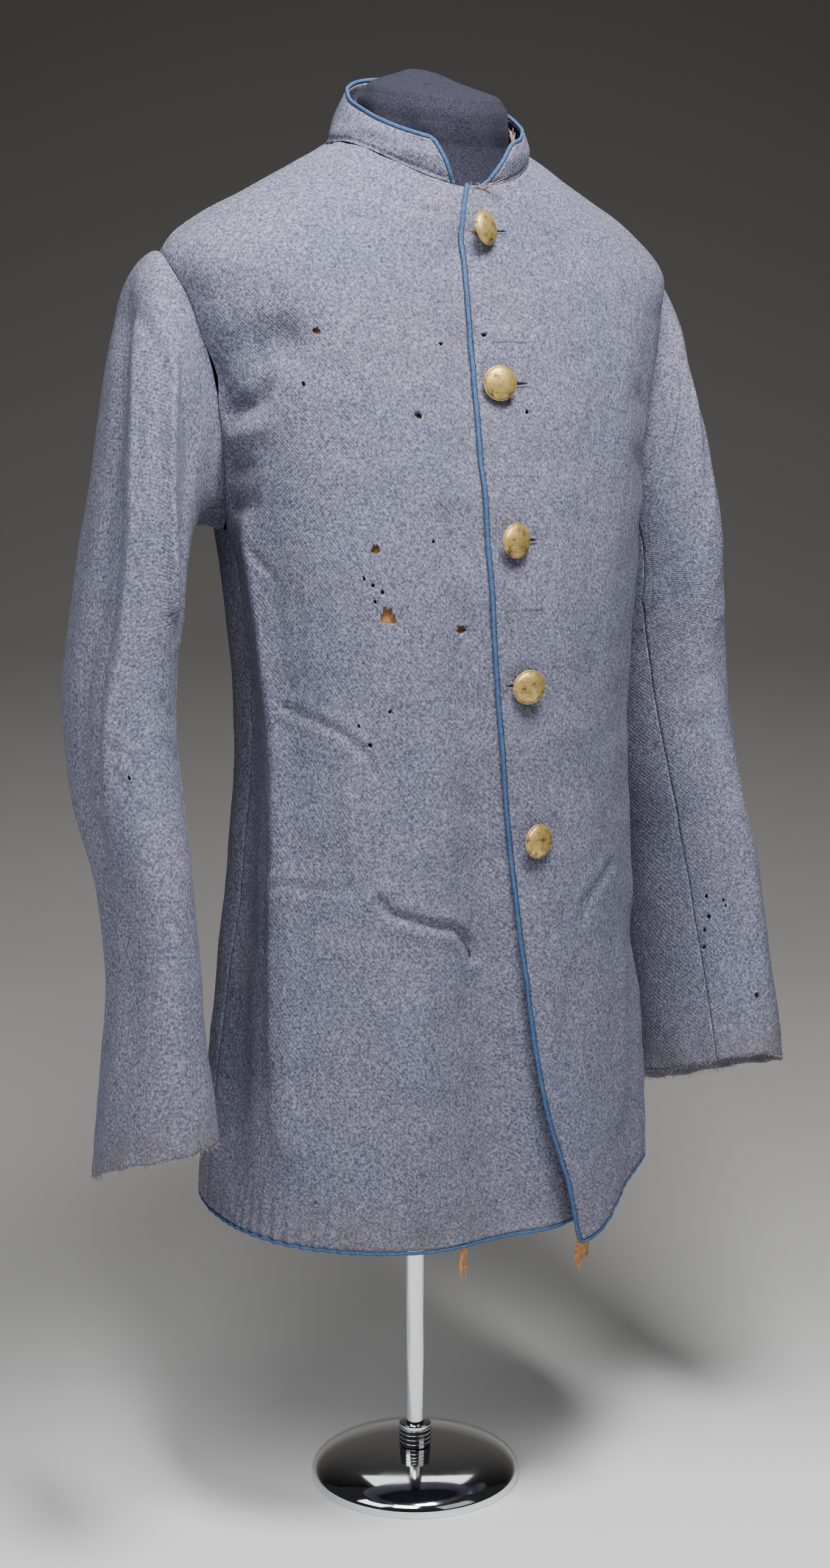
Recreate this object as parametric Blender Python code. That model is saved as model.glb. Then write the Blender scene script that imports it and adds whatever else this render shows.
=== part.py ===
"""A uniform coat on a limbless dress form, on a chrome stand.

Sizes are in metres, +Z is up, the coat faces -Y and the wearer's right arm is at -X. The origin is
the centre of the base's flat underside. Each cloth piece is a thin wall on a surface worked out
from a table of sections, so neighbours share one surface and keep an even gap at the seams.

Two coordinates give a place on the coat's body. The turn goes round it, from 0 at the front to
positive on the wearer's left. The level goes up it, from 0 at the hem to 1 at the neck seam. On a
sleeve the turn goes from 0 on the outer side to a quarter at the front, and the level runs down
from 0 at the armhole to 1 at the cuff.
"""

import math

import bmesh
import bpy
import numpy as np
from mathutils import Matrix

# Cloth and seams
CLOTH_WALL = 0.0022
COLLAR_WALL = 0.0030
LINING_WALL = 0.0010
SEAM_GAP = 0.0003
LAP_GAP = 0.0009
PIPING_RADIUS = 0.0013

# The coat's body, a row for each level. Heights are given at the side, front and back. The front
# and back depths are measured from the middle, which lies forward of the pole by that column.
# columns: level, side height, front height, back height, half width, front depth, back depth,
# middle, squareness
BODY = np.array([
    [0.000, 0.222, 0.220, 0.224, 0.163, 0.122, 0.118, 0.010, 2.25],
    [0.120, 0.305, 0.303, 0.306, 0.158, 0.119, 0.114, 0.012, 2.25],
    [0.240, 0.392, 0.391, 0.392, 0.150, 0.114, 0.109, 0.015, 2.25],
    [0.360, 0.480, 0.480, 0.481, 0.142, 0.108, 0.105, 0.019, 2.25],
    [0.480, 0.570, 0.570, 0.571, 0.138, 0.105, 0.106, 0.021, 2.25],
    [0.590, 0.660, 0.655, 0.660, 0.146, 0.105, 0.109, 0.020, 2.25],
    [0.680, 0.735, 0.725, 0.735, 0.158, 0.102, 0.108, 0.016, 2.25],
    [0.760, 0.790, 0.782, 0.793, 0.171, 0.098, 0.102, 0.012, 2.25],
    [0.820, 0.837, 0.822, 0.838, 0.182, 0.090, 0.094, 0.012, 2.20],
    [0.865, 0.868, 0.850, 0.874, 0.184, 0.082, 0.085, 0.013, 2.15],
    [0.905, 0.893, 0.873, 0.903, 0.158, 0.075, 0.076, 0.014, 2.10],
    [0.940, 0.912, 0.890, 0.925, 0.126, 0.070, 0.069, 0.015, 2.00],
    [0.970, 0.928, 0.902, 0.941, 0.096, 0.066, 0.063, 0.016, 2.00],
    [1.000, 0.942, 0.911, 0.953, 0.070, 0.063, 0.059, 0.016, 2.00],
])

# Where the left front's edge and the right front's hidden edge run, as metres across the front
# from the middle line, positive to the wearer's left.
# columns: level, left front's edge, right front's edge
FRONT_EDGES = np.array([
    [0.000, 0.048, 0.078],
    [0.060, 0.039, 0.072],
    [0.130, 0.024, 0.066],
    [0.260, 0.010, 0.052],
    [0.400, -0.002, 0.038],
    [0.550, -0.0125, 0.028],
    [0.700, -0.0172, 0.022],
    [0.850, -0.0160, 0.018],
    [0.930, -0.0135, 0.016],
    [1.000, -0.0064, 0.015],
])
LAP_FLAT, LAP_FADE = 0.006, 0.045

# How far the hem rises from its level, by the turn in degrees, and where that fades out above it
# columns: turn, rise
HEM_RISE = np.array([
    [-180.0, 0.012],
    [-110.0, 0.010],
    [-60.0, 0.004],
    [-20.0, 0.000],
    [10.0, 0.002],
    [35.0, 0.012],
    [55.0, 0.028],
    [75.0, 0.046],
    [110.0, 0.044],
    [150.0, 0.022],
    [180.0, 0.012],
])
HEM_RISE_FADE = 0.20
LEFT_CORNER_DROP = 0.012
LEFT_CORNER_WIDTH = 0.050
# How far the left front's edge stands out at the hem, how far round that fades, and its top level
LEFT_FLARE, LEFT_FLARE_WIDTH, LEFT_FLARE_TOP = 0.006, 0.060, 0.36

SIDE_SEAM_TURN = math.radians(97)
ARMHOLE_LEVEL = 0.745
ARMHOLE_RISE = 0.118
ARMHOLE_FRONT_TURN = math.radians(17)
ARMHOLE_LEAN = 0.35
ARMHOLE_BACK_TURN = math.radians(24)

# Rough sizes that turn a turn and a level into metres for the folds
BODY_RADIUS = 0.150
BODY_RUN = 0.730
SLEEVE_RADIUS = 0.055
SLEEVE_RUN = 0.620

# Largest folds of the body, a row each: a straight line on the cloth from one end to the other,
# with the fold's half width in metres and its height, negative for a trough.
# columns: start turn in degrees, start level, end turn, end level, half width, height
BODY_FOLDS = np.array([
    [-79.0, 0.620, -77.0, 0.490, 0.014, 0.0050],
    [-76.0, 0.455, -70.0, 0.350, 0.014, 0.0055],
    [-68.5, 0.320, -60.0, 0.100, 0.015, 0.0055],
    [-97.0, 0.600, -92.0, 0.320, 0.024, -0.0080],
    [-90.0, 0.270, -84.0, 0.060, 0.024, -0.0080],
    [-76.0, 0.760, -50.0, 0.796, 0.015, -0.0055],
    [-14.0, 0.640, -8.0, 0.440, 0.015, -0.0035],
    [-6.0, 0.400, 2.0, 0.020, 0.020, -0.0040],
    [-5.5, 0.800, -7.5, 0.700, 0.014, -0.0030],
    [-25.0, 0.220, -20.0, 0.040, 0.018, 0.0030],
    [66.0, 0.640, 60.0, 0.300, 0.020, 0.0040],
    [84.0, 0.520, 82.0, 0.300, 0.018, -0.0050],
    [58.0, 0.200, 52.0, 0.000, 0.024, 0.0050],
    [150.0, 0.560, 164.0, 0.100, 0.024, -0.0045],
    [-160.0, 0.560, -150.0, 0.050, 0.026, -0.0050],
    [180.0, 0.420, 178.0, 0.000, 0.022, 0.0045],
])

# A sleeve's sections, a row each. Outer and inner are the points furthest from and nearest to the
# body. The toe turns the section's front outwards. The right sleeve's elbow swings out a little more.
# columns: level, outer across, outer height, inner across, inner height, forward, half width,
# toe in degrees, slope of the section's front, right sleeve's extra reach
SLEEVE = np.array([
    [0.000, 0.185, 0.868, 0.150, 0.690, -0.007, 0.040, 0.0, 0.00, 0.000],
    [0.050, 0.194, 0.861, 0.157, 0.697, -0.006, 0.046, 2.0, 0.00, 0.003],
    [0.110, 0.200, 0.843, 0.164, 0.692, -0.004, 0.054, 4.0, 0.00, 0.007],
    [0.180, 0.206, 0.812, 0.168, 0.676, -0.001, 0.061, 6.0, 0.00, 0.011],
    [0.270, 0.213, 0.767, 0.170, 0.653, 0.001, 0.066, 8.0, 0.00, 0.013],
    [0.370, 0.222, 0.710, 0.170, 0.630, 0.000, 0.070, 10.0, 0.00, 0.014],
    [0.470, 0.232, 0.643, 0.171, 0.602, -0.003, 0.070, 10.0, 0.00, 0.016],
    [0.560, 0.240, 0.580, 0.173, 0.562, 0.000, 0.069, 10.0, 0.04, 0.016],
    [0.640, 0.243, 0.522, 0.177, 0.514, 0.010, 0.068, 10.0, 0.10, 0.012],
    [0.720, 0.241, 0.463, 0.186, 0.462, 0.024, 0.067, 10.0, 0.18, 0.004],
    [0.790, 0.241, 0.410, 0.189, 0.412, 0.034, 0.066, 10.0, 0.22, 0.002],
    [0.870, 0.248, 0.354, 0.188, 0.360, 0.042, 0.066, 9.0, 0.26, 0.003],
    [0.940, 0.255, 0.312, 0.186, 0.322, 0.048, 0.066, 8.0, 0.30, 0.003],
    [1.000, 0.259, 0.282, 0.184, 0.294, 0.051, 0.066, 8.0, 0.34, 0.003],
])
SLEEVE_SQUARENESS = 2.2
SLEEVE_JOIN = 0.11
FRONT_SLEEVE_SEAM = 10
BACK_SLEEVE_SEAM = 16
SLEEVE_SIDES = 24
SLEEVE_LEVELS = 22

# Largest folds of each sleeve, with the same columns as the body's. The turn is measured on the
# sleeve.
RIGHT_SLEEVE_FOLDS = np.array([
    [8.0, 0.140, 21.0, 0.315, 0.012, -0.0065],
    [23.0, 0.345, 32.0, 0.445, 0.012, -0.0065],
    [32.0, 0.475, 9.0, 0.655, 0.012, -0.0065],
    [7.0, 0.685, -6.0, 0.840, 0.012, -0.0045],
    [22.0, 0.160, 34.0, 0.320, 0.010, 0.0030],
    [36.0, 0.350, 45.0, 0.450, 0.010, 0.0030],
    [45.0, 0.475, 24.0, 0.640, 0.010, 0.0030],
    [70.0, 0.120, 90.0, 0.230, 0.012, 0.0045],
    [92.0, 0.265, 114.0, 0.380, 0.012, 0.0045],
    [200.0, 0.400, 240.0, 0.700, 0.018, -0.0050],
])
LEFT_SLEEVE_FOLDS = np.array([
    [40.0, 0.160, 62.0, 0.700, 0.018, -0.0040],
    [90.0, 0.500, 60.0, 0.720, 0.016, -0.0040],
    [190.0, 0.400, 240.0, 0.660, 0.018, -0.0050],
    [330.0, 0.500, 352.0, 0.900, 0.018, -0.0040],
])

# The stand collar's top edge, and the turns of its two front ends in degrees
COLLAR_TOP_FRONT, COLLAR_TOP_BACK = 0.936, 0.990
COLLAR_TOP_WIDTH, COLLAR_TOP_DEPTH, COLLAR_TOP_MIDDLE = 0.060, 0.058, 0.026
COLLAR_LEFT_LOW, COLLAR_LEFT_HIGH = 6.0, 33.0
COLLAR_RIGHT_LOW, COLLAR_RIGHT_HIGH = 345.5, 328.0
COLLAR_CORNER = 0.35

# Buttons and buttonholes, a row each from the top: level, metres across from the middle line, and
# how far the button is turned to the wearer's left and tipped down, in degrees
BUTTONS = np.array([
    [0.923, -0.0076, 25.0, 0.0],
    [0.765, -0.0028, -6.0, 6.0],
    [0.629, -0.0008, 8.0, 2.0],
    [0.509, 0.0092, -10.0, 5.0],
    [0.3725, 0.0155, 10.0, 0.0],
])
BUTTON_RADIUS = 0.0113
BUTTON_DOME_RADIUS = 0.0106
BUTTON_RIM = 0.0016
BUTTON_DOME = 0.0042
SHANK_RADIUS = 0.0012
BUTTON_STANDOFF = 0.0012
SLIT_LENGTH = 0.021
SLIT_HEIGHT = 0.0034

# The largest moth holes in the right front: turn in degrees, level, half width, half height
MOTH_HOLES = np.array([
    [-37.0, 0.569, 0.0052, 0.0046],
    [-38.5, 0.622, 0.0026, 0.0030],
    [-14.0, 0.553, 0.0028, 0.0030],
])
LINING_PATCH = (-48.0, -4.0, 0.53, 0.65)

# The torn lining below the hem, a row each: turn in degrees, half width, length below the hem
TATTERS = np.array([
    [19.5, 0.0070, 0.036],
    [-10.0, 0.0032, 0.020],
])
TATTER_LEVELS = (0.024, 0.012, 0.0)
TATTER_INSET = CLOTH_WALL + 0.0012

# The dress form
FORM_FOOT_LEVEL = 0.17
FORM_LOOSE = 0.010
FORM_REST = 0.0013
FORM_REST_LEVEL = 0.86
FORM_FINE_LEVEL = 0.80
FORM_SIDES = 24
# columns: height, radius, forward
FORM_NECK = np.array([
    [0.947, 0.0530, 0.020],
    [0.960, 0.0520, 0.023],
    [0.973, 0.0480, 0.024],
    [0.981, 0.0380, 0.023],
    [0.985, 0.0200, 0.021],
])

# The stand
BASE_RADIUS = 0.076
BASE_EDGE = 0.004
BASE_RISE = 0.022
FERRULE_RADIUS = 0.0118
FERRULE_HEIGHT = 0.017
FERRULE_RIBS = 5
FERRULE_GROOVE = 0.0012
POLE_RADIUS = 0.0066
ROUND_SIDES = 32

# How finely the body's walls are divided
LOWER_ROWS = 12
ARMHOLE_ROWS = SLEEVE_SIDES // 2
UPPER_ROWS = 5
FRONT_COLUMNS = 15
BACK_COLUMNS = 16
COLLAR_COLUMNS = 32
COLLAR_ROWS = 4

COLOURS = {
    "wool": (0.17, 0.20, 0.27, 1.0),
    "piping": (0.09, 0.20, 0.40, 1.0),
    "brass": (0.62, 0.47, 0.20, 1.0),
    "lining": (0.48, 0.22, 0.08, 1.0),
    "form": (0.022, 0.025, 0.036, 1.0),
    "chrome": (0.80, 0.81, 0.83, 1.0),
}


def clear_scene():
    """Removes every object, so that the script starts from nothing."""
    for old in list(bpy.data.objects):
        bpy.data.objects.remove(old, do_unlink=True)


def add_material(obj, colour, roughness, metallic=0.0):
    """Gives the object its own Principled material."""
    material = bpy.data.materials.new(obj.name)
    material.use_nodes = True
    shader = material.node_tree.nodes["Principled BSDF"]
    shader.inputs["Base Color"].default_value = COLOURS[colour]
    shader.inputs["Roughness"].default_value = roughness
    shader.inputs["Metallic"].default_value = metallic
    obj.data.materials.append(material)


def add_object(name, points, faces):
    """Makes a closed mesh object from points and faces, with its normals turned outwards."""
    mesh = bpy.data.meshes.new(name)
    mesh.from_pydata([tuple(point) for point in points], [], [tuple(face) for face in faces])
    build = bmesh.new()
    build.from_mesh(mesh)
    bmesh.ops.recalc_face_normals(build, faces=build.faces)
    build.to_mesh(mesh)
    build.free()
    obj = bpy.data.objects.new(name, mesh)
    bpy.context.scene.collection.objects.link(obj)
    return obj


def read_table(rows, places):
    """A smooth cubic through a table's rows, whose first column is the place."""
    places = np.asarray(places, float)
    known = rows[:, 0]
    values = rows[:, 1:]
    slopes = np.gradient(values, known, axis=0)
    low = np.clip(np.searchsorted(known, places, side="right") - 1, 0, len(known) - 2)
    width = known[low + 1] - known[low]
    part = np.clip((places - known[low]) / width, 0.0, 1.0)[..., None]
    width = width[..., None]
    ease = part * part * (3 - 2 * part)
    bulge = part * (1 - part) * width
    return (values[low] * (1 - ease) + values[low + 1] * ease
            + bulge * ((1 - part) * slopes[low] - part * slopes[low + 1]))


def ease_between(low, high, value):
    """0 below low, 1 above high, and a smooth step between."""
    part = np.clip((value - low) / (high - low), 0.0, 1.0)
    return part * part * (3 - 2 * part)


def power_wave(value, squareness):
    """A sine or cosine made squarer, for a superellipse."""
    return np.sign(value) * np.abs(value) ** (2 / squareness)


def fold_height(folds, turn, level, around, along):
    """The summed height of straight folds, each a soft ridge or trough that fades at its ends.

    Around and along are the metres in one radian of turn and in one whole level.
    """
    total = np.zeros(np.broadcast(turn, level).shape)
    for start_turn, start_level, end_turn, end_level, width, height in folds:
        start = np.array([math.radians(start_turn) * around, start_level * along])
        line = np.array([math.radians(end_turn) * around, end_level * along]) - start
        length = np.hypot(*line)
        for lap in (-2 * math.pi, 0.0, 2 * math.pi):
            across_from = (turn + lap) * around - start[0]
            along_from = level * along - start[1]
            run = (across_from * line[0] + along_from * line[1]) / length
            aside = (across_from * line[1] - along_from * line[0]) / length
            beyond = np.maximum(np.maximum(-run, run - length), 0.0)
            total = total + height * np.exp(-(aside ** 2 + beyond ** 2) / width ** 2)
    return total


def body_point(turn, level):
    """The outer surface of the coat's body: a squared ellipse at each level, with folds added."""
    row = read_table(BODY, level)
    side, front, back, half_width, front_depth, back_depth, middle, squareness = np.moveaxis(row, -1, 0)
    ahead = np.cos(turn)
    depth = np.where(ahead > 0, front_depth, back_depth)
    end = np.where(ahead > 0, front, back)
    fold = fold_height(BODY_FOLDS, turn, level, BODY_RADIUS, BODY_RUN)
    across = half_width * power_wave(np.sin(turn), squareness) + fold * np.sin(turn)
    forward = middle + depth * power_wave(ahead, squareness) + fold * ahead
    degrees = np.degrees((turn + math.pi) % (2 * math.pi) - math.pi)
    rise = np.interp(degrees, HEM_RISE[:, 0], HEM_RISE[:, 1]) * (1 - ease_between(0, HEM_RISE_FADE, level))
    height = side + (end - side) * ahead ** 2 + rise
    return np.stack([across, -forward, height], axis=-1)


def surface_normal(point_of, turn, level):
    """The outward normal of a surface, from small steps along its two coordinates."""
    step = 1e-4
    around = point_of(turn + step, level) - point_of(turn - step, level)
    along = point_of(turn, np.minimum(level + step, 1)) - point_of(turn, np.maximum(level - step, 0))
    normal = np.cross(around, along)
    return normal / np.linalg.norm(normal, axis=-1, keepdims=True)


def body_offset(turn, level, out):
    """A point on the body's surface, moved out along its normal."""
    return body_point(turn, level) + surface_normal(body_point, turn, level) * np.asarray(out)[..., None]


def turn_at(across, level):
    """The turn of a place on the front, from metres across it."""
    row = read_table(BODY, level)
    half_width, squareness = row[..., 3], row[..., 7]
    return np.arcsin(power_wave(across / half_width, 4 / squareness))


def turn_for(metres, turn, level):
    """The change of turn that moves a point by some metres round the body."""
    step = 1e-3
    moved = np.linalg.norm(body_point(turn + step, level) - body_point(turn, level), axis=-1)
    return metres * step / moved


def wall_faces(rows, columns):
    """The faces of a closed wall: its outer grid, its inner grid and the strip round its edge.

    The strip's squares are split the same way on every wall, so two walls fit along a twisted seam.
    """
    def at(row, column, inner):
        return inner * rows * columns + row * columns + column

    faces = []
    for row in range(rows - 1):
        for column in range(columns - 1):
            corners = [(row, column), (row, column + 1), (row + 1, column + 1), (row + 1, column)]
            faces.append([at(*corner, 0) for corner in corners])
            faces.append([at(*corner, 1) for corner in reversed(corners)])
    rim = [(0, column) for column in range(columns)]
    rim += [(row, columns - 1) for row in range(1, rows)]
    rim += [(rows - 1, column) for column in range(columns - 2, -1, -1)]
    rim += [(row, 0) for row in range(rows - 2, 0, -1)]
    for here, there in zip(rim, rim[1:] + rim[:1]):
        first, last = sorted((here, there))
        faces.append([at(*first, 0), at(*first, 1), at(*last, 1)])
        faces.append([at(*first, 0), at(*last, 1), at(*last, 0)])
    return faces


def add_wall(name, outer, inner, colour="wool", roughness=0.95):
    """A closed wall between two grids of points."""
    rows, columns = outer.shape[:2]
    points = np.concatenate([outer.reshape(-1, 3), inner.reshape(-1, 3)])
    obj = add_object(name, points, wall_faces(rows, columns))
    add_material(obj, colour, roughness)
    return obj


def body_levels():
    """The panels' rows, which meet the sleeve's points round the armhole."""
    bottom = ARMHOLE_LEVEL - ARMHOLE_RISE
    top = ARMHOLE_LEVEL + ARMHOLE_RISE
    lower = np.linspace(0, bottom, LOWER_ROWS + 1)
    middle = ARMHOLE_LEVEL - ARMHOLE_RISE * np.cos(np.linspace(0, math.pi, ARMHOLE_ROWS + 1))
    upper = np.linspace(top, 1, UPPER_ROWS + 1)
    return np.concatenate([lower, middle[1:], upper[1:]])


def armhole_bite(levels, reach):
    """How far the armhole cuts into a panel, as a turn. It cuts deeper in its upper half."""
    height = np.clip((levels - ARMHOLE_LEVEL) / ARMHOLE_RISE, -1, 1)
    return reach * (1 + ARMHOLE_LEAN * height) * np.sqrt(1 - height ** 2)


def panel_grid(first_turn, last_turn, levels, columns):
    """Turns and levels of a panel's points, evenly between its two edges in each row."""
    part = np.linspace(0, 1, columns + 1)
    turn = first_turn[:, None] + (last_turn - first_turn)[:, None] * part
    level = np.broadcast_to(levels[:, None], turn.shape)
    return turn, level


def lap_lift(turn, level):
    """How far the left front stands out, where it lies on the right front."""
    right_edge = read_table(FRONT_EDGES, level)[..., 1]
    half_width = read_table(BODY, level)[..., 3]
    past = half_width * np.sin(np.clip(turn, -1.5, 1.5)) - right_edge
    return (CLOTH_WALL + LAP_GAP) * (1 - ease_between(LAP_FLAT, LAP_FADE, past))


def left_point(turn, level, out):
    """A point of the left front: lifted where it laps, and flared and lower at its bottom corner."""
    edge = read_table(FRONT_EDGES, level)[..., 0]
    half_width = read_table(BODY, level)[..., 3]
    past = half_width * np.sin(np.clip(turn, -1.5, 1.5)) - edge
    drop = LEFT_CORNER_DROP * (1 - ease_between(0, LEFT_CORNER_WIDTH, past))
    drop = drop * (1 - ease_between(0, HEM_RISE_FADE, level))
    flare = LEFT_FLARE * (1 - ease_between(0, LEFT_FLARE_WIDTH, past))
    flare = flare * (1 - ease_between(0, LEFT_FLARE_TOP, level))
    point = body_offset(turn, level, lap_lift(turn, level) + flare + out)
    return point - np.stack([np.zeros(drop.shape), np.zeros(drop.shape), drop], axis=-1)


def front_side(levels):
    """The turn of a front's side edge: its armhole and, below that, half the gap of the side seam."""
    seam_half_gap = turn_for(SEAM_GAP / 2, np.full(levels.shape, SIDE_SEAM_TURN), levels)
    return SIDE_SEAM_TURN - armhole_bite(levels, ARMHOLE_FRONT_TURN) - seam_half_gap


def right_front_grid():
    """Turns and levels of the right front's points, from its hidden edge to its side."""
    levels = body_levels()
    edge = turn_at(read_table(FRONT_EDGES, levels)[:, 1], levels)
    return panel_grid(edge, -front_side(levels), levels, FRONT_COLUMNS + 2)


def add_fronts():
    """The two fronts. The left one laps over the right one."""
    levels = body_levels()
    edge = turn_at(read_table(FRONT_EDGES, levels)[:, 0], levels)
    turn, level = panel_grid(edge, front_side(levels), levels, FRONT_COLUMNS)
    left = add_wall("left_front", left_point(turn, level, 0), left_point(turn, level, -CLOTH_WALL))

    turn, level = right_front_grid()
    flat = np.zeros(turn.shape)
    right = add_wall("right_front", body_offset(turn, level, flat), body_offset(turn, level, flat - CLOTH_WALL))
    return left, right


def add_back():
    """The back, in one piece between the side seams."""
    levels = body_levels()
    seam_half_gap = turn_for(SEAM_GAP / 2, np.full(levels.shape, SIDE_SEAM_TURN), levels)
    side = SIDE_SEAM_TURN + armhole_bite(levels, ARMHOLE_BACK_TURN) + seam_half_gap
    turn, level = panel_grid(side, 2 * math.pi - side, levels, BACK_COLUMNS)
    flat = np.zeros(turn.shape)
    add_wall("back", body_offset(turn, level, flat), body_offset(turn, level, flat - CLOTH_WALL))


def armhole_ring(turns):
    """The outer and inner edge of the left armhole, at each turn of the sleeve."""
    level = ARMHOLE_LEVEL + ARMHOLE_RISE * np.cos(turns)
    reach = np.where(np.sin(turns) > 0, ARMHOLE_FRONT_TURN, -ARMHOLE_BACK_TURN)
    body_turn = SIDE_SEAM_TURN - armhole_bite(level, reach)
    outer = body_offset(body_turn, level, np.zeros(turns.shape))
    inner = body_offset(body_turn, level, np.full(turns.shape, -CLOTH_WALL))
    middle = outer.mean(axis=0)
    inward = middle - outer
    inward /= np.linalg.norm(inward, axis=-1, keepdims=True)
    return outer + inward * SEAM_GAP, inner + inward * SEAM_GAP


def sleeve_section(side, turn, level, out):
    """A point of a sleeve's section, moved out by some metres. Side is 1 on the left, -1 on the right."""
    row = read_table(SLEEVE, level)
    outer_x, outer_z, inner_x, inner_z, forward, half_width, toe, slope, extra = np.moveaxis(row, -1, 0)
    reach = extra if side < 0 else 0
    folds = RIGHT_SLEEVE_FOLDS if side < 0 else LEFT_SLEEVE_FOLDS
    middle = np.stack([(outer_x + inner_x) / 2 + reach, -forward, (outer_z + inner_z) / 2], axis=-1)
    span = np.stack([outer_x - inner_x, np.zeros(outer_x.shape), outer_z - inner_z], axis=-1) / 2
    half_span = np.linalg.norm(span, axis=-1)
    toe = np.radians(toe)
    lean = span[..., 0] / half_span
    outwards = np.stack([lean * np.cos(toe), lean * np.sin(toe), span[..., 2] / half_span], axis=-1)
    ahead = np.stack([np.sin(toe), -np.cos(toe), slope], axis=-1)
    fold = fold_height(folds, turn, level, SLEEVE_RADIUS, SLEEVE_RUN) * ease_between(0.02, 0.14, level)
    grown = out + fold
    across = (half_span * power_wave(np.cos(turn), SLEEVE_SQUARENESS) + grown * np.cos(turn))[..., None]
    along = (half_width * power_wave(np.sin(turn), SLEEVE_SQUARENESS) + grown * np.sin(turn))[..., None]
    return middle + outwards * across + ahead * along


def sleeve_grid(side):
    """The outer and inner points of a whole sleeve, a row for each level from the armhole down."""
    turns = np.linspace(0, 2 * math.pi, SLEEVE_SIDES + 1)
    part = np.linspace(0, 1, SLEEVE_LEVELS + 1)
    levels = part ** 1.15
    turn, level = np.meshgrid(turns, levels)
    join = ease_between(0, SLEEVE_JOIN, level)[..., None]
    outer_ring, inner_ring = armhole_ring(turns)
    outer = outer_ring * (1 - join) + sleeve_section(side, turn, level, 0.0) * join
    inner = inner_ring * (1 - join) + sleeve_section(side, turn, level, -CLOTH_WALL) * join
    mirror = np.array([side, 1, 1])
    return outer * mirror, inner * mirror


def open_seam(grid, first, last):
    """The columns from first to last of a grid, with half the seam's gap taken off at both ends."""
    columns = [column % SLEEVE_SIDES for column in range(first, last + 1)]
    piece = grid[:, columns].copy()
    for edge, within in ((0, 1), (-1, -2)):
        towards = piece[:, within] - piece[:, edge]
        towards /= np.linalg.norm(towards, axis=-1, keepdims=True)
        piece[:, edge] += towards * SEAM_GAP / 2
    return piece


def add_sleeves():
    """Two sleeves, each an upper and an under piece."""
    for side, name in ((1, "left"), (-1, "right")):
        outer, inner = sleeve_grid(side)
        under = (FRONT_SLEEVE_SEAM, BACK_SLEEVE_SEAM)
        upper = (BACK_SLEEVE_SEAM, FRONT_SLEEVE_SEAM + SLEEVE_SIDES)
        for piece, columns in (("upper", upper), ("under", under)):
            add_wall(f"{name}_sleeve_{piece}", open_seam(outer, *columns), open_seam(inner, *columns))


def collar_point(turn, height):
    """The collar's outer surface. Height is 0 at the neck seam and 1 at the top edge."""
    low = body_point(turn, np.ones(turn.shape))
    ahead = np.cos(turn)
    high = np.stack([
        COLLAR_TOP_WIDTH * np.sin(turn),
        -COLLAR_TOP_MIDDLE - COLLAR_TOP_DEPTH * ahead,
        COLLAR_TOP_BACK + (COLLAR_TOP_FRONT - COLLAR_TOP_BACK) * (1 + ahead) / 2,
    ], axis=-1)
    height = height[..., None]
    swell = 0.0015 * np.sin(math.pi * height)
    out = np.stack([np.sin(turn), -ahead, np.zeros(turn.shape)], axis=-1)
    return low + (high - low) * height + out * swell


def collar_grid(columns, rows):
    """Turns and heights of the collar's points. The front ends slope back and their corners are round."""
    part = np.linspace(0, 1, columns + 1)
    height, part = np.meshgrid(np.linspace(0, 1, rows + 1), part, indexing="ij")
    rounding = height ** 3 * COLLAR_CORNER
    left = COLLAR_LEFT_LOW + (COLLAR_LEFT_HIGH - COLLAR_LEFT_LOW) * (height + rounding) / (1 + COLLAR_CORNER)
    right = COLLAR_RIGHT_LOW + (COLLAR_RIGHT_HIGH - COLLAR_RIGHT_LOW) * (height + rounding) / (1 + COLLAR_CORNER)
    return np.radians(left + (right - left) * part), height


def add_collar():
    """The stand collar, open at the throat."""
    turn, height = collar_grid(COLLAR_COLUMNS, COLLAR_ROWS)
    outer = collar_point(turn, height)
    out = np.stack([np.sin(turn), -np.cos(turn), np.zeros(turn.shape)], axis=-1)
    inner = outer - out * COLLAR_WALL
    lift = np.array([0, 0, SEAM_GAP])
    add_wall("collar", outer + lift, inner + lift)


def add_tube(name, path, radius, sides, colour, roughness):
    """A round cord along a path of points, closed at both ends."""
    ahead = np.gradient(path, axis=0)
    ahead /= np.linalg.norm(ahead, axis=1, keepdims=True)
    guide = np.where(np.abs(ahead[:, 2:]) > 0.8, [[0.0, 1.0, 0.0]], [[0.0, 0.0, 1.0]])
    for index in range(1, len(path)):
        guide[index] = guide[index - 1] - ahead[index] * np.dot(guide[index - 1], ahead[index])
    across = np.cross(ahead, guide)
    across /= np.linalg.norm(across, axis=1, keepdims=True)
    upright = np.cross(across, ahead)
    around = np.linspace(0, 2 * math.pi, sides, endpoint=False)[None, :, None]
    rings = path[:, None] + radius * (np.cos(around) * across[:, None] + np.sin(around) * upright[:, None])
    faces = []
    for ring in range(len(path) - 1):
        for side in range(sides):
            after = (side + 1) % sides
            here = ring * sides
            faces.append([here + side, here + after, here + sides + after, here + sides + side])
    faces.append(list(range(sides)))
    faces.append([(len(path) - 1) * sides + side for side in range(sides)])
    obj = add_object(name, rings.reshape(-1, 3), faces)
    add_material(obj, colour, roughness)
    return obj


def beside(edge, within, distance):
    """The points of an edge, moved square to it and away from the next points within the cloth."""
    along = np.gradient(edge, axis=0)
    along /= np.linalg.norm(along, axis=-1, keepdims=True)
    away = edge - within
    away -= along * (away * along).sum(axis=-1, keepdims=True)
    return edge + away / np.linalg.norm(away, axis=-1, keepdims=True) * distance


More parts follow.
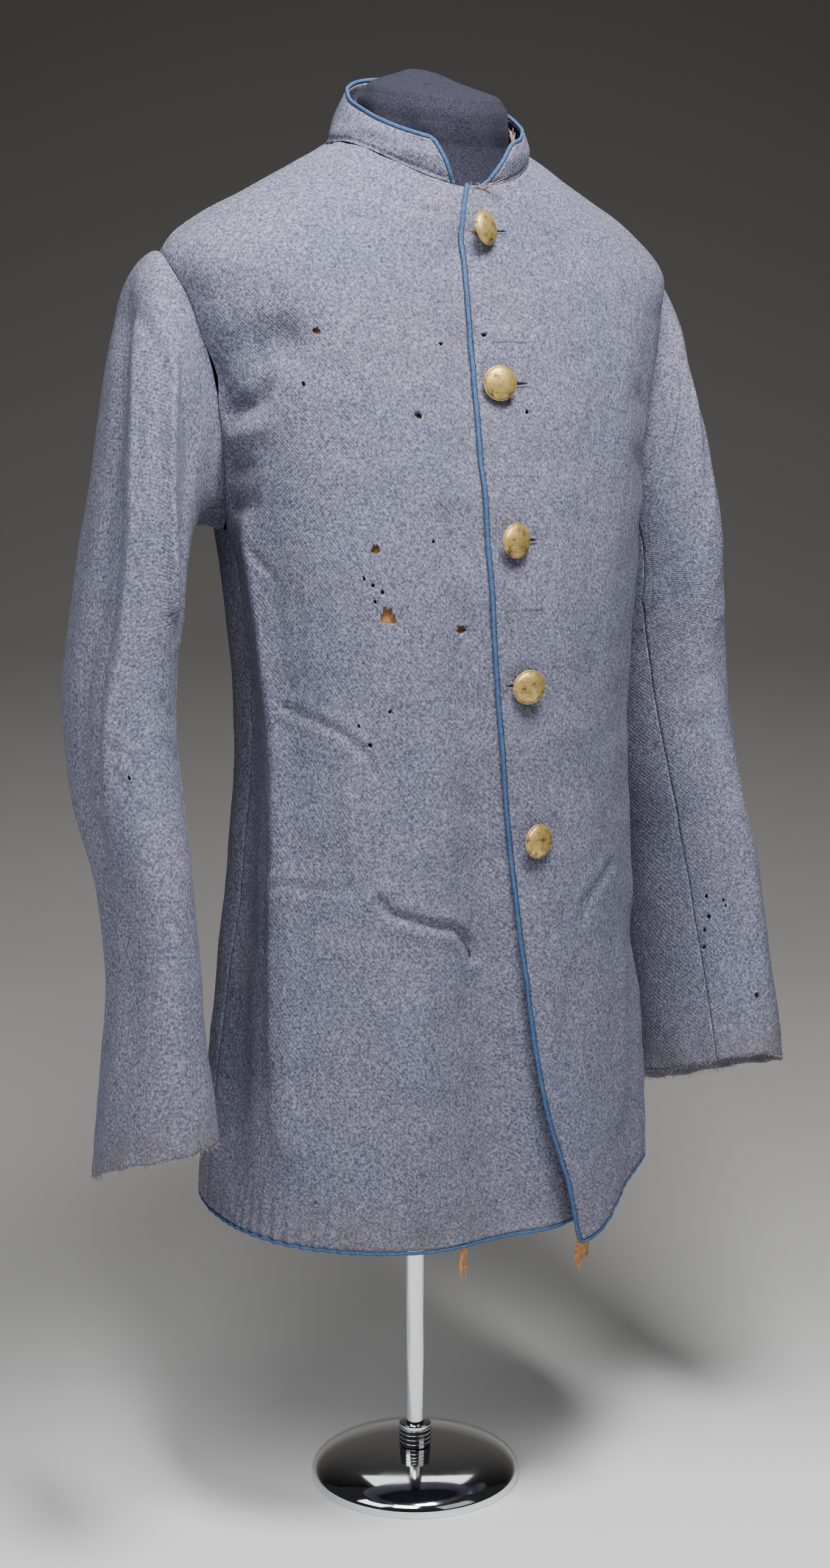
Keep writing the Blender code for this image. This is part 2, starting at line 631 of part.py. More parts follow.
def add_piping():
    """Blue piping along the collar, the left front's edge and the hem, just clear of each edge."""
    clear = PIPING_RADIUS + SEAM_GAP
    down = np.array([0, 0, -clear])

    turn, height = collar_grid(COLLAR_COLUMNS, COLLAR_ROWS)
    out = np.stack([np.sin(turn), -np.cos(turn), np.zeros(turn.shape)], axis=-1)
    middle = collar_point(turn, height) - out * COLLAR_WALL / 2
    left_end = beside(middle[:, 0], middle[:, 1], clear)
    right_end = beside(middle[:, -1], middle[:, -2], clear)
    top = middle[-1, 1:-1]
    path = np.concatenate([left_end, top, right_end[::-1]])
    path[COLLAR_ROWS:-COLLAR_ROWS] -= down - [0, 0, SEAM_GAP]
    add_tube("collar_piping", path, PIPING_RADIUS, 6, "piping", 0.8)

    levels = body_levels()
    turn = turn_at(read_table(FRONT_EDGES, levels)[:, 0], levels)
    edge = left_point(turn, levels, -CLOTH_WALL / 2)
    within = left_point(turn + 0.01, levels, -CLOTH_WALL / 2)
    add_tube("left_front_piping", beside(edge, within, clear), PIPING_RADIUS, 6, "piping", 0.8)

    left_edge, right_edge = turn_at(FRONT_EDGES[0, 1:3], np.zeros(2))
    seam_gap = float(turn_for(SEAM_GAP / 2, np.array(SIDE_SEAM_TURN), np.array(0.0)))
    seam = SIDE_SEAM_TURN - seam_gap
    back_seam = SIDE_SEAM_TURN + seam_gap
    runs = (
        ("left_hem_piping", left_edge, seam, FRONT_COLUMNS, left_point),
        ("back_hem_piping", back_seam, 2 * math.pi - back_seam, BACK_COLUMNS, body_offset),
        ("right_hem_piping", right_edge, -seam, FRONT_COLUMNS + 2, body_offset),
    )
    for name, first, last, columns, point_of in runs:
        turn = np.linspace(first, last, columns + 1)
        path = point_of(turn, np.zeros(columns + 1), np.full(columns + 1, -CLOTH_WALL / 2)) + down
        add_tube(name, path, PIPING_RADIUS, 6, "piping", 0.8)


def front_frame(across, level, lift):
    """A matrix with its origin on the front, X across, Z up the cloth and Y into the body."""
    turn = turn_at(across, level)
    point = body_offset(turn, level, lift)
    outwards = surface_normal(body_point, turn, level)
    aside = np.cross([0.0, 0.0, 1.0], -outwards)
    aside /= np.linalg.norm(aside)
    upwards = np.cross(aside, -outwards)
    return point, -aside, -outwards, -upwards


def spin_profile(name, profile, sides, colour, roughness, metallic):
    """A closed solid turned round Z from a profile of radius and height that starts and ends on the axis."""
    mesh = bpy.data.meshes.new(name)
    build = bmesh.new()
    line = [build.verts.new((radius, 0, height)) for radius, height in profile]
    edges = [build.edges.new(pair) for pair in zip(line, line[1:])]
    bmesh.ops.spin(build, geom=line + edges, cent=(0, 0, 0), axis=(0, 0, 1), angle=2 * math.pi, steps=sides)
    bmesh.ops.remove_doubles(build, verts=build.verts, dist=1e-6)
    bmesh.ops.recalc_face_normals(build, faces=build.faces)
    build.to_mesh(mesh)
    build.free()
    obj = bpy.data.objects.new(name, mesh)
    bpy.context.scene.collection.objects.link(obj)
    add_material(obj, colour, roughness, metallic)
    return obj


def button_profile(shank):
    """A domed button with a rolled rim on a shank whose foot is at height 0."""
    rim = shank + BUTTON_RIM
    dome = [(BUTTON_DOME_RADIUS * math.sin(angle), rim + BUTTON_DOME * math.cos(angle))
            for angle in np.linspace(0, math.pi / 2, 5)]
    back = [(BUTTON_RADIUS, shank + BUTTON_RIM / 2), (BUTTON_DOME_RADIUS, shank), (SHANK_RADIUS, shank)]
    return dome + back + [(SHANK_RADIUS, 0), (0, 0)]


def add_buttons():
    """Five buttons over slits in the left front, their shanks sewn to the right front."""
    for number, (level, across, yaw, tip) in enumerate(BUTTONS, start=1):
        lean = math.sin(math.radians(math.hypot(yaw, tip)))
        foot = SEAM_GAP + SHANK_RADIUS * lean
        shank = LAP_GAP + CLOTH_WALL + BUTTON_STANDOFF + BUTTON_RADIUS * lean
        button = spin_profile(f"button_{number}", button_profile(shank), 14, "brass", 0.35, 1.0)
        point, aside, into, up = front_frame(across, level, foot)
        turned = Matrix.Rotation(math.radians(yaw), 4, "Y") @ Matrix.Rotation(math.radians(tip), 4, "X")
        button.matrix_world = frame_matrix(point, (aside, up, -into)) @ turned


def frame_matrix(point, axes, size=(1, 1, 1)):
    """A matrix with the given origin, whose columns are the three axes times their sizes."""
    matrix = np.eye(4)
    matrix[:3, :3] = np.array(axes).T * np.array(size)
    matrix[:3, 3] = point
    return Matrix(matrix)


def add_cutter(name, point, axes, size, shape):
    """A hidden box or drum that cuts a slit or hole through a wall."""
    build = bmesh.new()
    if shape == "box":
        bmesh.ops.create_cube(build, size=1.0)
    else:
        bmesh.ops.create_cone(build, cap_ends=True, segments=9, radius1=0.5, radius2=0.5, depth=1.0)
    mesh = bpy.data.meshes.new(name)
    build.to_mesh(mesh)
    build.free()
    cutter = bpy.data.objects.new(name, mesh)
    bpy.context.scene.collection.objects.link(cutter)
    cutter.matrix_world = frame_matrix(point, axes, size)
    cutter.hide_render = True
    cutter.hide_viewport = True
    return cutter


def cut(obj, cutters):
    """Cuts each cutter from the object with a Boolean."""
    for cutter in cutters:
        modifier = obj.modifiers.new(cutter.name, "BOOLEAN")
        modifier.operation = "DIFFERENCE"
        modifier.object = cutter


def add_openings(left_front, right_front):
    """Five buttonholes in the left front and the largest moth holes in the right front."""
    slits = []
    for number, (level, across, _, _) in enumerate(BUTTONS, start=1):
        middle = across + SLIT_LENGTH / 2 - SHANK_RADIUS * 2
        point, aside, into, up = front_frame(middle, level, CLOTH_WALL / 2)
        size = (SLIT_LENGTH, SLIT_HEIGHT, 0.006)
        slits.append(add_cutter(f"slit_{number}", point, (aside, up, -into), size, "box"))
    cut(left_front, slits)
    holes = []
    for number, (turn, level, half_width, half_height) in enumerate(MOTH_HOLES, start=1):
        turn = math.radians(turn)
        across = float(read_table(BODY, level)[3] * math.sin(turn))
        point, aside, into, up = front_frame(across, level, -CLOTH_WALL / 2)
        size = (2 * half_width, 2 * half_height, 0.008)
        holes.append(add_cutter(f"moth_hole_{number}", point, (aside, up, -into), size, "drum"))
    cut(right_front, holes)


def add_lining():
    """The lining where it shows: behind the moth holes, and torn below the hem."""
    first, last, low, high = LINING_PATCH
    turn, level = right_front_grid()
    rows = np.flatnonzero((level[:, 0] > low) & (level[:, 0] < high))
    middle = turn[rows].mean(axis=0)
    columns = np.flatnonzero((middle > math.radians(first)) & (middle < math.radians(last)))
    turn, level = turn[np.ix_(rows, columns)], level[np.ix_(rows, columns)]
    top = -(CLOTH_WALL + SEAM_GAP)
    add_wall("lining_patch", body_offset(turn, level, np.full(turn.shape, top)),
             body_offset(turn, level, np.full(turn.shape, top - LINING_WALL)), "lining", 0.9)

    for number, (turn, half_width, length) in enumerate(TATTERS, start=1):
        turn = math.radians(turn)
        spread = float(turn_for(half_width, np.array(turn), np.array(0.0)))
        across, level = np.meshgrid(turn + np.linspace(-spread, spread, 4), TATTER_LEVELS)
        tatter = []
        for depth in (TATTER_INSET, TATTER_INSET + LINING_WALL):
            sewn = body_offset(across, level, np.full(across.shape, -depth))
            drop = np.linspace(0, length, 6)[1:, None, None]
            narrow = 1 - 0.25 * drop / length
            middle = sewn[-1].mean(axis=0)
            hanging = middle + (sewn[-1] - middle) * narrow + drop * np.array([0, 0, -1])
            tatter.append(np.concatenate([sewn, hanging]))
        add_wall(f"lining_tatter_{number}", *tatter, "lining", 0.9)


def add_form():
    """The dress form: the body's surface drawn in, closed below, with a neck that ends in a dome."""
    turns = np.linspace(0, 2 * math.pi, FORM_SIDES, endpoint=False)
    levels = body_levels()
    low = levels[(levels >= FORM_FOOT_LEVEL) & (levels < FORM_FINE_LEVEL)]
    levels = np.concatenate([low[::2], levels[levels >= FORM_FINE_LEVEL]])
    rest = ease_between(FORM_REST_LEVEL - 0.10, FORM_REST_LEVEL, levels)
    inset = -(CLOTH_WALL + FORM_LOOSE + (FORM_REST - FORM_LOOSE) * rest)
    turn, level = np.meshgrid(turns, levels)
    rings = list(body_offset(turn, level, np.broadcast_to(inset[:, None], turn.shape)))
    for height, radius, forward in FORM_NECK:
        tilt = 0.010 * np.cos(turns)
        rings.append(np.stack([radius * np.sin(turns), -forward - radius * np.cos(turns), height - tilt], axis=-1))
    rings = np.array(rings)
    sides = FORM_SIDES
    faces = []
    for ring in range(len(rings) - 1):
        for side in range(sides):
            after = (side + 1) % sides
            here = ring * sides
            faces.append([here + side, here + after, here + sides + after, here + sides + side])
    points = rings.reshape(-1, 3)
    foot = np.array([[0, 0, rings[0][:, 2].mean()]])
    crown = np.array([rings[-1].mean(axis=0) + [0, 0, 0.001]])
    points = np.concatenate([points, foot, crown])
    last = (len(rings) - 1) * sides
    for side in range(sides):
        after = (side + 1) % sides
        faces.append([side, after, len(points) - 2])
        faces.append([last + side, last + after, len(points) - 1])
    form = add_object("dress_form", points, faces)
    add_material(form, "form", 0.9)
    return float(foot[0, 2])


def add_stand(form_foot):
    """The chrome base, the ribbed ferrule and the pole, each 0.3 mm from the next."""
    arc = np.linspace(0, math.pi / 2, 9)
    dome = [(BASE_RADIUS * math.cos(a) ** 0.8, BASE_EDGE + (BASE_RISE - BASE_EDGE) * math.sin(a)) for a in arc]
    dome[-1] = (0.0, BASE_RISE)
    base = [(0.0, 0.0), (BASE_RADIUS - 0.001, 0.0), (BASE_RADIUS, 0.001)] + dome
    spin_profile("stand_base", base, ROUND_SIDES, "chrome", 0.08, 1.0)

    foot = BASE_RISE + SEAM_GAP
    ribs = [(0.0, foot)]
    pitch = FERRULE_HEIGHT / FERRULE_RIBS
    for rib in range(FERRULE_RIBS):
        low = foot + rib * pitch
        ribs += [(FERRULE_RADIUS, low), (FERRULE_RADIUS, low + pitch * 0.7)]
        if rib < FERRULE_RIBS - 1:
            ribs += [(FERRULE_RADIUS - FERRULE_GROOVE, low + pitch * 0.75),
                     (FERRULE_RADIUS - FERRULE_GROOVE, low + pitch * 0.95)]
    top = foot + FERRULE_HEIGHT
    ribs += [(FERRULE_RADIUS - FERRULE_GROOVE, top), (0.0, top)]
    spin_profile("stand_ferrule", ribs, 20, "chrome", 0.1, 1.0)

    low, high = top + SEAM_GAP, form_foot - SEAM_GAP
    spin_profile("stand_pole", [(0, low), (POLE_RADIUS, low), (POLE_RADIUS, high), (0, high)], 20, "chrome", 0.1, 1.0)


def main():
    clear_scene()
    left_front, right_front = add_fronts()
    add_back()
    add_sleeves()
    add_collar()
    add_piping()
    add_buttons()
    add_lining()
    add_openings(left_front, right_front)
    form_foot = add_form()
    add_stand(form_foot)


main()
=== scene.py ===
"""A worn blue-grey uniform coat on a dress form with a chrome stand, and the studio round it."""

from functools import partial
import math

import bmesh
import bpy
import numpy as np
from mathutils import Matrix, Vector


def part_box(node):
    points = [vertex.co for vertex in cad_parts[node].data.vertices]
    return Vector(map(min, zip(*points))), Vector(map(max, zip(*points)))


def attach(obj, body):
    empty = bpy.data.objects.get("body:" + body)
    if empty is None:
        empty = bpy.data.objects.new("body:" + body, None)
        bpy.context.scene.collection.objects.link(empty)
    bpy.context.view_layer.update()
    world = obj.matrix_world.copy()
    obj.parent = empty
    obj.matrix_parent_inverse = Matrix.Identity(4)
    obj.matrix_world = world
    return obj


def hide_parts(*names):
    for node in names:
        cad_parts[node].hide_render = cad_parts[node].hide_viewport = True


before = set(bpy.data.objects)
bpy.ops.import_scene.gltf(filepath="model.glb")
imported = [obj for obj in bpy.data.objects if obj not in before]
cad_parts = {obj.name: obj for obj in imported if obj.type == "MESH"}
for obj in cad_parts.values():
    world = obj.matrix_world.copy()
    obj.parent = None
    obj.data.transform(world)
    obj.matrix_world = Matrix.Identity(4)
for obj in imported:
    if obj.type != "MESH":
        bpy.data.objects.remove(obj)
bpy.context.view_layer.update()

# Sizes in metres. The part has the same, apart from the left front's flare and the lining's ends.
CLOTH = 0.0022
COLLAR_CLOTH = 0.0030
GAP = 0.0003
LAP_GAP = 0.0009
PIPING = 0.0013
LINING, LINING_BEHIND = 0.0009, 0.0012

# columns: level, side height, front height, back height, half width, front depth, back depth,
# middle, squareness
BODY = np.array([
    [0.000, 0.222, 0.220, 0.224, 0.163, 0.122, 0.118, 0.010, 2.25],
    [0.120, 0.305, 0.303, 0.306, 0.158, 0.119, 0.114, 0.012, 2.25],
    [0.240, 0.392, 0.391, 0.392, 0.150, 0.114, 0.109, 0.015, 2.25],
    [0.360, 0.480, 0.480, 0.481, 0.142, 0.108, 0.105, 0.019, 2.25],
    [0.480, 0.570, 0.570, 0.571, 0.138, 0.105, 0.106, 0.021, 2.25],
    [0.590, 0.660, 0.655, 0.660, 0.146, 0.105, 0.109, 0.020, 2.25],
    [0.680, 0.735, 0.725, 0.735, 0.158, 0.102, 0.108, 0.016, 2.25],
    [0.760, 0.790, 0.782, 0.793, 0.171, 0.098, 0.102, 0.012, 2.25],
    [0.820, 0.837, 0.822, 0.838, 0.182, 0.090, 0.094, 0.012, 2.20],
    [0.865, 0.868, 0.850, 0.874, 0.184, 0.082, 0.085, 0.013, 2.15],
    [0.905, 0.893, 0.873, 0.903, 0.158, 0.075, 0.076, 0.014, 2.10],
    [0.940, 0.912, 0.890, 0.925, 0.126, 0.070, 0.069, 0.015, 2.00],
    [0.970, 0.928, 0.902, 0.941, 0.096, 0.066, 0.063, 0.016, 2.00],
    [1.000, 0.942, 0.911, 0.953, 0.070, 0.063, 0.059, 0.016, 2.00],
])

# columns: level, left front's edge, right front's edge, as metres across the front
FRONT_EDGES = np.array([
    [0.000, 0.048, 0.078],
    [0.060, 0.039, 0.072],
    [0.130, 0.024, 0.066],
    [0.260, 0.010, 0.052],
    [0.400, -0.002, 0.038],
    [0.550, -0.0125, 0.028],
    [0.700, -0.0172, 0.022],
    [0.850, -0.0160, 0.018],
    [0.930, -0.0135, 0.016],
    [1.000, -0.0064, 0.015],
])
LAP_FLAT, LAP_FADE = 0.006, 0.045

# columns: turn in degrees, how far the hem rises
HEM_RISE = np.array([
    [-180.0, 0.012],
    [-110.0, 0.010],
    [-60.0, 0.004],
    [-20.0, 0.000],
    [10.0, 0.002],
    [35.0, 0.012],
    [55.0, 0.028],
    [75.0, 0.046],
    [110.0, 0.044],
    [150.0, 0.022],
    [180.0, 0.012],
])
HEM_RISE_FADE = 0.20
LEFT_CORNER_DROP, LEFT_CORNER_WIDTH = 0.012, 0.050
LEFT_FLARE, LEFT_FLARE_WIDTH, LEFT_FLARE_TOP = 0.010, 0.055, 0.42

SIDE_SEAM = math.radians(97)
ARMHOLE_LEVEL, ARMHOLE_RISE = 0.745, 0.118
ARMHOLE_FRONT, ARMHOLE_BACK = math.radians(17), math.radians(24)
ARMHOLE_LEAN = 0.35
# How far the eased top of a sleeve swells below its seam
SLEEVE_HEAD = 0.0044
# How far the shoulder stands out at a sleeve's seam, and how far round its top that reaches
SHOULDER_SWELL, SWELL_REACH = 0.0048, 0.040

# Metres of cloth for a turn of one radian, and for a level from 0 to 1
BODY_RADIUS, BODY_RUN = 0.150, 0.730
SLEEVE_RADIUS, SLEEVE_RUN = 0.055, 0.620
COLLAR_RADIUS, COLLAR_RUN = 0.062, 0.040
BODY_SIZE = (BODY_RADIUS, BODY_RUN)
SLEEVE_SIZE = (SLEEVE_RADIUS, SLEEVE_RUN)
COLLAR_SIZE = (COLLAR_RADIUS, COLLAR_RUN)

# Largest folds, shared with the part
# columns: start turn in degrees, start level, end turn, end level, half width, height
BODY_FOLDS = np.array([
    [-79.0, 0.620, -77.0, 0.490, 0.014, 0.0050],
    [-76.0, 0.455, -70.0, 0.350, 0.014, 0.0055],
    [-68.5, 0.320, -60.0, 0.100, 0.015, 0.0055],
    [-97.0, 0.600, -92.0, 0.320, 0.024, -0.0080],
    [-90.0, 0.270, -84.0, 0.060, 0.024, -0.0080],
    [-76.0, 0.760, -50.0, 0.796, 0.015, -0.0055],
    [-14.0, 0.640, -8.0, 0.440, 0.015, -0.0035],
    [-6.0, 0.400, 2.0, 0.020, 0.020, -0.0040],
    [-5.5, 0.800, -7.5, 0.700, 0.014, -0.0030],
    [-25.0, 0.220, -20.0, 0.040, 0.018, 0.0030],
    [66.0, 0.640, 60.0, 0.300, 0.020, 0.0040],
    [84.0, 0.520, 82.0, 0.300, 0.018, -0.0050],
    [58.0, 0.200, 52.0, 0.000, 0.024, 0.0050],
    [150.0, 0.560, 164.0, 0.100, 0.024, -0.0045],
    [-160.0, 0.560, -150.0, 0.050, 0.026, -0.0050],
    [180.0, 0.420, 178.0, 0.000, 0.022, 0.0045],
])

# columns: level, outer across, outer height, inner across, inner height, forward, half width,
# toe in degrees, slope of the section's front, right sleeve's extra reach
SLEEVE = np.array([
    [0.000, 0.185, 0.868, 0.150, 0.690, -0.007, 0.040, 0.0, 0.00, 0.000],
    [0.050, 0.194, 0.861, 0.157, 0.697, -0.006, 0.046, 2.0, 0.00, 0.003],
    [0.110, 0.200, 0.843, 0.164, 0.692, -0.004, 0.054, 4.0, 0.00, 0.007],
    [0.180, 0.206, 0.812, 0.168, 0.676, -0.001, 0.061, 6.0, 0.00, 0.011],
    [0.270, 0.213, 0.767, 0.170, 0.653, 0.001, 0.066, 8.0, 0.00, 0.013],
    [0.370, 0.222, 0.710, 0.170, 0.630, 0.000, 0.070, 10.0, 0.00, 0.014],
    [0.470, 0.232, 0.643, 0.171, 0.602, -0.003, 0.070, 10.0, 0.00, 0.016],
    [0.560, 0.240, 0.580, 0.173, 0.562, 0.000, 0.069, 10.0, 0.04, 0.016],
    [0.640, 0.243, 0.522, 0.177, 0.514, 0.010, 0.068, 10.0, 0.10, 0.012],
    [0.720, 0.241, 0.463, 0.186, 0.462, 0.024, 0.067, 10.0, 0.18, 0.004],
    [0.790, 0.241, 0.410, 0.189, 0.412, 0.034, 0.066, 10.0, 0.22, 0.002],
    [0.870, 0.248, 0.354, 0.188, 0.360, 0.042, 0.066, 9.0, 0.26, 0.003],
    [0.940, 0.255, 0.312, 0.186, 0.322, 0.048, 0.066, 8.0, 0.30, 0.003],
    [1.000, 0.259, 0.282, 0.184, 0.294, 0.051, 0.066, 8.0, 0.34, 0.003],
])
SLEEVE_SQUARENESS, SLEEVE_JOIN = 2.2, 0.11
FRONT_SLEEVE_SEAM, BACK_SLEEVE_SEAM = math.radians(150), math.radians(240)

RIGHT_SLEEVE_FOLDS = np.array([
    [8.0, 0.140, 21.0, 0.315, 0.012, -0.0065],
    [23.0, 0.345, 32.0, 0.445, 0.012, -0.0065],
    [32.0, 0.475, 9.0, 0.655, 0.012, -0.0065],
    [7.0, 0.685, -6.0, 0.840, 0.012, -0.0045],
    [22.0, 0.160, 34.0, 0.320, 0.010, 0.0030],
    [36.0, 0.350, 45.0, 0.450, 0.010, 0.0030],
    [45.0, 0.475, 24.0, 0.640, 0.010, 0.0030],
    [70.0, 0.120, 90.0, 0.230, 0.012, 0.0045],
    [92.0, 0.265, 114.0, 0.380, 0.012, 0.0045],
    [200.0, 0.400, 240.0, 0.700, 0.018, -0.0050],
])
LEFT_SLEEVE_FOLDS = np.array([
    [40.0, 0.160, 62.0, 0.700, 0.018, -0.0040],
    [90.0, 0.500, 60.0, 0.720, 0.016, -0.0040],
    [190.0, 0.400, 240.0, 0.660, 0.018, -0.0050],
    [330.0, 0.500, 352.0, 0.900, 0.018, -0.0040],
])

COLLAR_TOP_FRONT, COLLAR_TOP_BACK = 0.936, 0.990
COLLAR_TOP_WIDTH, COLLAR_TOP_DEPTH, COLLAR_TOP_MIDDLE = 0.060, 0.058, 0.026
COLLAR_LEFT_LOW, COLLAR_LEFT_HIGH = 6.0, 33.0
COLLAR_RIGHT_LOW, COLLAR_RIGHT_HIGH = 345.5, 328.0
COLLAR_CORNER = 0.35
COLLAR_SWELL, COLLAR_WAVE, COLLAR_ROLL = 0.0015, 0.0006, 0.0008

# columns: level, metres across, turned to the wearer's left, tipped down, both in degrees
BUTTONS = np.array([
    [0.923, -0.0076, 25.0, 0.0],
    [0.765, -0.0028, -6.0, 6.0],
    [0.629, -0.0008, 8.0, 2.0],
    [0.509, 0.0092, -10.0, 5.0],
    [0.3725, 0.0155, 10.0, 0.0],
])
BUTTON_RADIUS, BUTTON_DOME_RADIUS = 0.0113, 0.0106
BUTTON_RIM, BUTTON_DOME = 0.0016, 0.0042
SHANK_RADIUS, BUTTON_STANDOFF = 0.0012, 0.0012

FORM_FOOT_LEVEL = 0.17
FORM_LOOSE, FORM_REST, FORM_REST_LEVEL = 0.010, 0.0013, 0.86
# columns: height, radius, forward
FORM_NECK = np.array([
    [0.947, 0.0530, 0.020],
    [0.960, 0.0520, 0.023],
    [0.973, 0.0480, 0.024],
    [0.981, 0.0380, 0.023],
    [0.985, 0.0200, 0.021],
])

# First turn, last turn in degrees, lowest level, highest level
LINING_SHEET = (-50.0, -4.0, 0.46, 0.835)
# columns: turn in degrees, half width, length below the hem
TATTERS = np.array([
    [21.0, 0.0098, 0.038],
    [-10.0, 0.0036, 0.021],
])

BASE_RADIUS, BASE_EDGE, BASE_RISE = 0.076, 0.004, 0.022
FERRULE_RADIUS, FERRULE_HEIGHT, FERRULE_RIBS, FERRULE_GROOVE = 0.0118, 0.017, 5, 0.0012
POLE_RADIUS = 0.0066

# How deep the cloth is drawn in under a button, and how far round that reaches
DIMPLE, DIMPLE_REACH = 0.0016, 0.011
# The gathers at the hem: depth, spacing, and how far up they reach as a level
PUCKER, PUCKER_PITCH, PUCKER_REACH = 0.0009, 0.0105, 0.040
# The roll of cloth beside a sewn line: its height as a share of the line's depth, its place and
# its half width, both in half widths of the line
ROLL_SHARE, ROLL_PLACE, ROLL_WIDTH = 0.45, 2.4, 1.6
# The depth of the gathers in the form's neck cloth
NECK_GATHER = 0.0011
# Uneven cloth, columns: height, size of a ripple, seed
BODY_RIPPLES = ((0.0006, 0.060, 3), (0.00022, 0.017, 4))
SLEEVE_RIPPLES = ((0.0005, 0.050, 5), (0.0002, 0.016, 8))
# The raw cuffs: a roll of the cloth, and a long and a short wave in their edge
CUFF_ROLL, CUFF_WAVE, CUFF_FLUTTER = 0.0007, 0.0013, 0.0006
# How far down a sleeve its eased head reaches, and the shoulder's swell with it, as levels
HEAD_REACH, SWELL_FADE = 0.14, 0.07
# How far a plug stands out of the cloth, and how far in its inner end lies
PLUG_OUT, PLUG_IN = 0.003, 0.0055
PLUG_POINTS, BUTTONHOLE_POINTS = 22, 28
# How far a stitch's ends lie in the cloth
STITCH_SUNK = 0.0002
# Which way the threads on the left front face
LEFT_FACING = (-0.3, -0.95, 0.0)
PIPING_SIDES = 12
CUFF_FIBRES, TIP_FIBRES, THROAT_FIBRES = 420, 24, 9
# How many fibres hang from the left lining end, and from the right one
LINING_FIBRES = (26, 12)


# Arrays and tables

def read_table(rows, places):
    """A smooth cubic through a table's rows, whose first column is the place."""
    places = np.asarray(places, float)
    known, values = rows[:, 0], rows[:, 1:]
    slopes = np.gradient(values, known, axis=0)
    low = np.clip(np.searchsorted(known, places, side="right") - 1, 0, len(known) - 2)
    width = known[low + 1] - known[low]
    part = np.clip((places - known[low]) / width, 0.0, 1.0)[..., None]
    width = width[..., None]
    ease = part * part * (3 - 2 * part)
    bulge = part * (1 - part) * width
    return (values[low] * (1 - ease) + values[low + 1] * ease
            + bulge * ((1 - part) * slopes[low] - part * slopes[low + 1]))


def ease_between(low, high, value):
    """0 below low, 1 above high, and a smooth step between."""
    part = np.clip((value - low) / (high - low), 0.0, 1.0)
    return part * part * (3 - 2 * part)


def power_wave(value, squareness):
    """A sine or cosine raised to 2 / squareness with its sign kept, for a superellipse."""
    return np.sign(value) * np.abs(value) ** (2 / squareness)


def unit(vectors):
    """Vectors divided by their lengths."""
    return vectors / np.linalg.norm(vectors, axis=-1, keepdims=True)


def beside_lines(rows, turn, level, around, along):
    """Where each place lies beside the straight line of each row, once for each lap round the cloth.

    It gives the row's other values, the line's length, the metres run along the line from its
    start times that length, and the metres aside from it.
    """
    for start_turn, start_level, end_turn, end_level, *values in rows:
        start = np.array([math.radians(start_turn) * around, start_level * along])
        line = np.array([math.radians(end_turn) * around, end_level * along]) - start
        length = np.hypot(*line)
        for lap in (-2 * math.pi, 0.0, 2 * math.pi):
            across_from = (turn + lap) * around - start[0]
            along_from = level * along - start[1]
            run = across_from * line[0] + along_from * line[1]
            aside = (across_from * line[1] - along_from * line[0]) / length
            yield values, length, run, aside


def fold_height(folds, turn, level, around, along):
    """The sum over folds of height * exp(-distance^2 / half width^2), the distance to a straight line."""
    total = np.zeros(np.broadcast(turn, level).shape)
    for (width, height), length, run, aside in beside_lines(folds, turn, level, around, along):
        run = run / length
        beyond = np.maximum(np.maximum(-run, run - length), 0.0)
        total = total + height * np.exp(-(aside ** 2 + beyond ** 2) / width ** 2)
    return total


def crease_height(creases, turn, level, around, along):
    """The sum of bowed creases, each deepest at its middle and running out at both ends.

    A crease is height * sin(pi * share of its length)^0.8 * exp(-(aside / half width)^2), where
    aside is the distance from a line bowed sideways as a parabola. Its two flanks differ: the one
    on the positive side is steeper by its lean.
    """
    total = np.zeros(np.broadcast(turn, level).shape)
    for (bow, width, lean, height), length, run, aside in beside_lines(creases, turn, level, around, along):
        share = np.clip(run / length ** 2, 0.0, 1.0)
        aside = aside - bow * 4 * share * (1 - share)
        flank = width * np.where(aside > 0, 1 - lean, 1 + lean)
        total = total + height * np.sin(math.pi * share) ** 0.8 * np.exp(-(aside / flank) ** 2)
    return total


def ripple(turn, level, around, along, size, seed):
    """An uneven ripple from -1 to 1: the mean of eight sine waves in directions drawn from a seed."""
    draw = np.random.default_rng(seed)
    total = np.zeros(np.broadcast(turn, level).shape)
    for _ in range(8):
        heading = draw.uniform(0, math.pi)
        length = size * draw.uniform(0.7, 1.6)
        start = draw.uniform(0, 2 * math.pi)
        total = total + np.sin((turn * around * math.cos(heading) + level * along * math.sin(heading))
                               * 2 * math.pi / length + start)
    return total / 4


# The coat's surfaces

def body_point(turn, level):
    """A squared ellipse at each level, with the large folds added outwards and the hem raised."""
    row = read_table(BODY, level)
    side, front, back, half_width, front_depth, back_depth, middle, squareness = np.moveaxis(row, -1, 0)
    ahead = np.cos(turn)
    depth = np.where(ahead > 0, front_depth, back_depth)
    end = np.where(ahead > 0, front, back)
    fold = fold_height(BODY_FOLDS, turn, level, BODY_RADIUS, BODY_RUN)
    across = half_width * power_wave(np.sin(turn), squareness) + fold * np.sin(turn)
    forward = middle + depth * power_wave(ahead, squareness) + fold * ahead
    degrees = np.degrees((turn + math.pi) % (2 * math.pi) - math.pi)
    rise = np.interp(degrees, HEM_RISE[:, 0], HEM_RISE[:, 1]) * (1 - ease_between(0, HEM_RISE_FADE, level))
    height = side + (end - side) * ahead ** 2 + rise
    return np.stack([across, -forward, height], axis=-1)


def body_normal(turn, level):
    """The outward normal, from small steps along the turn and the level."""
    step = 1e-4
    around = body_point(turn + step, level) - body_point(turn - step, level)
    along = body_point(turn, np.minimum(level + step, 1)) - body_point(turn, np.maximum(level - step, 0))
    return unit(np.cross(around, along))


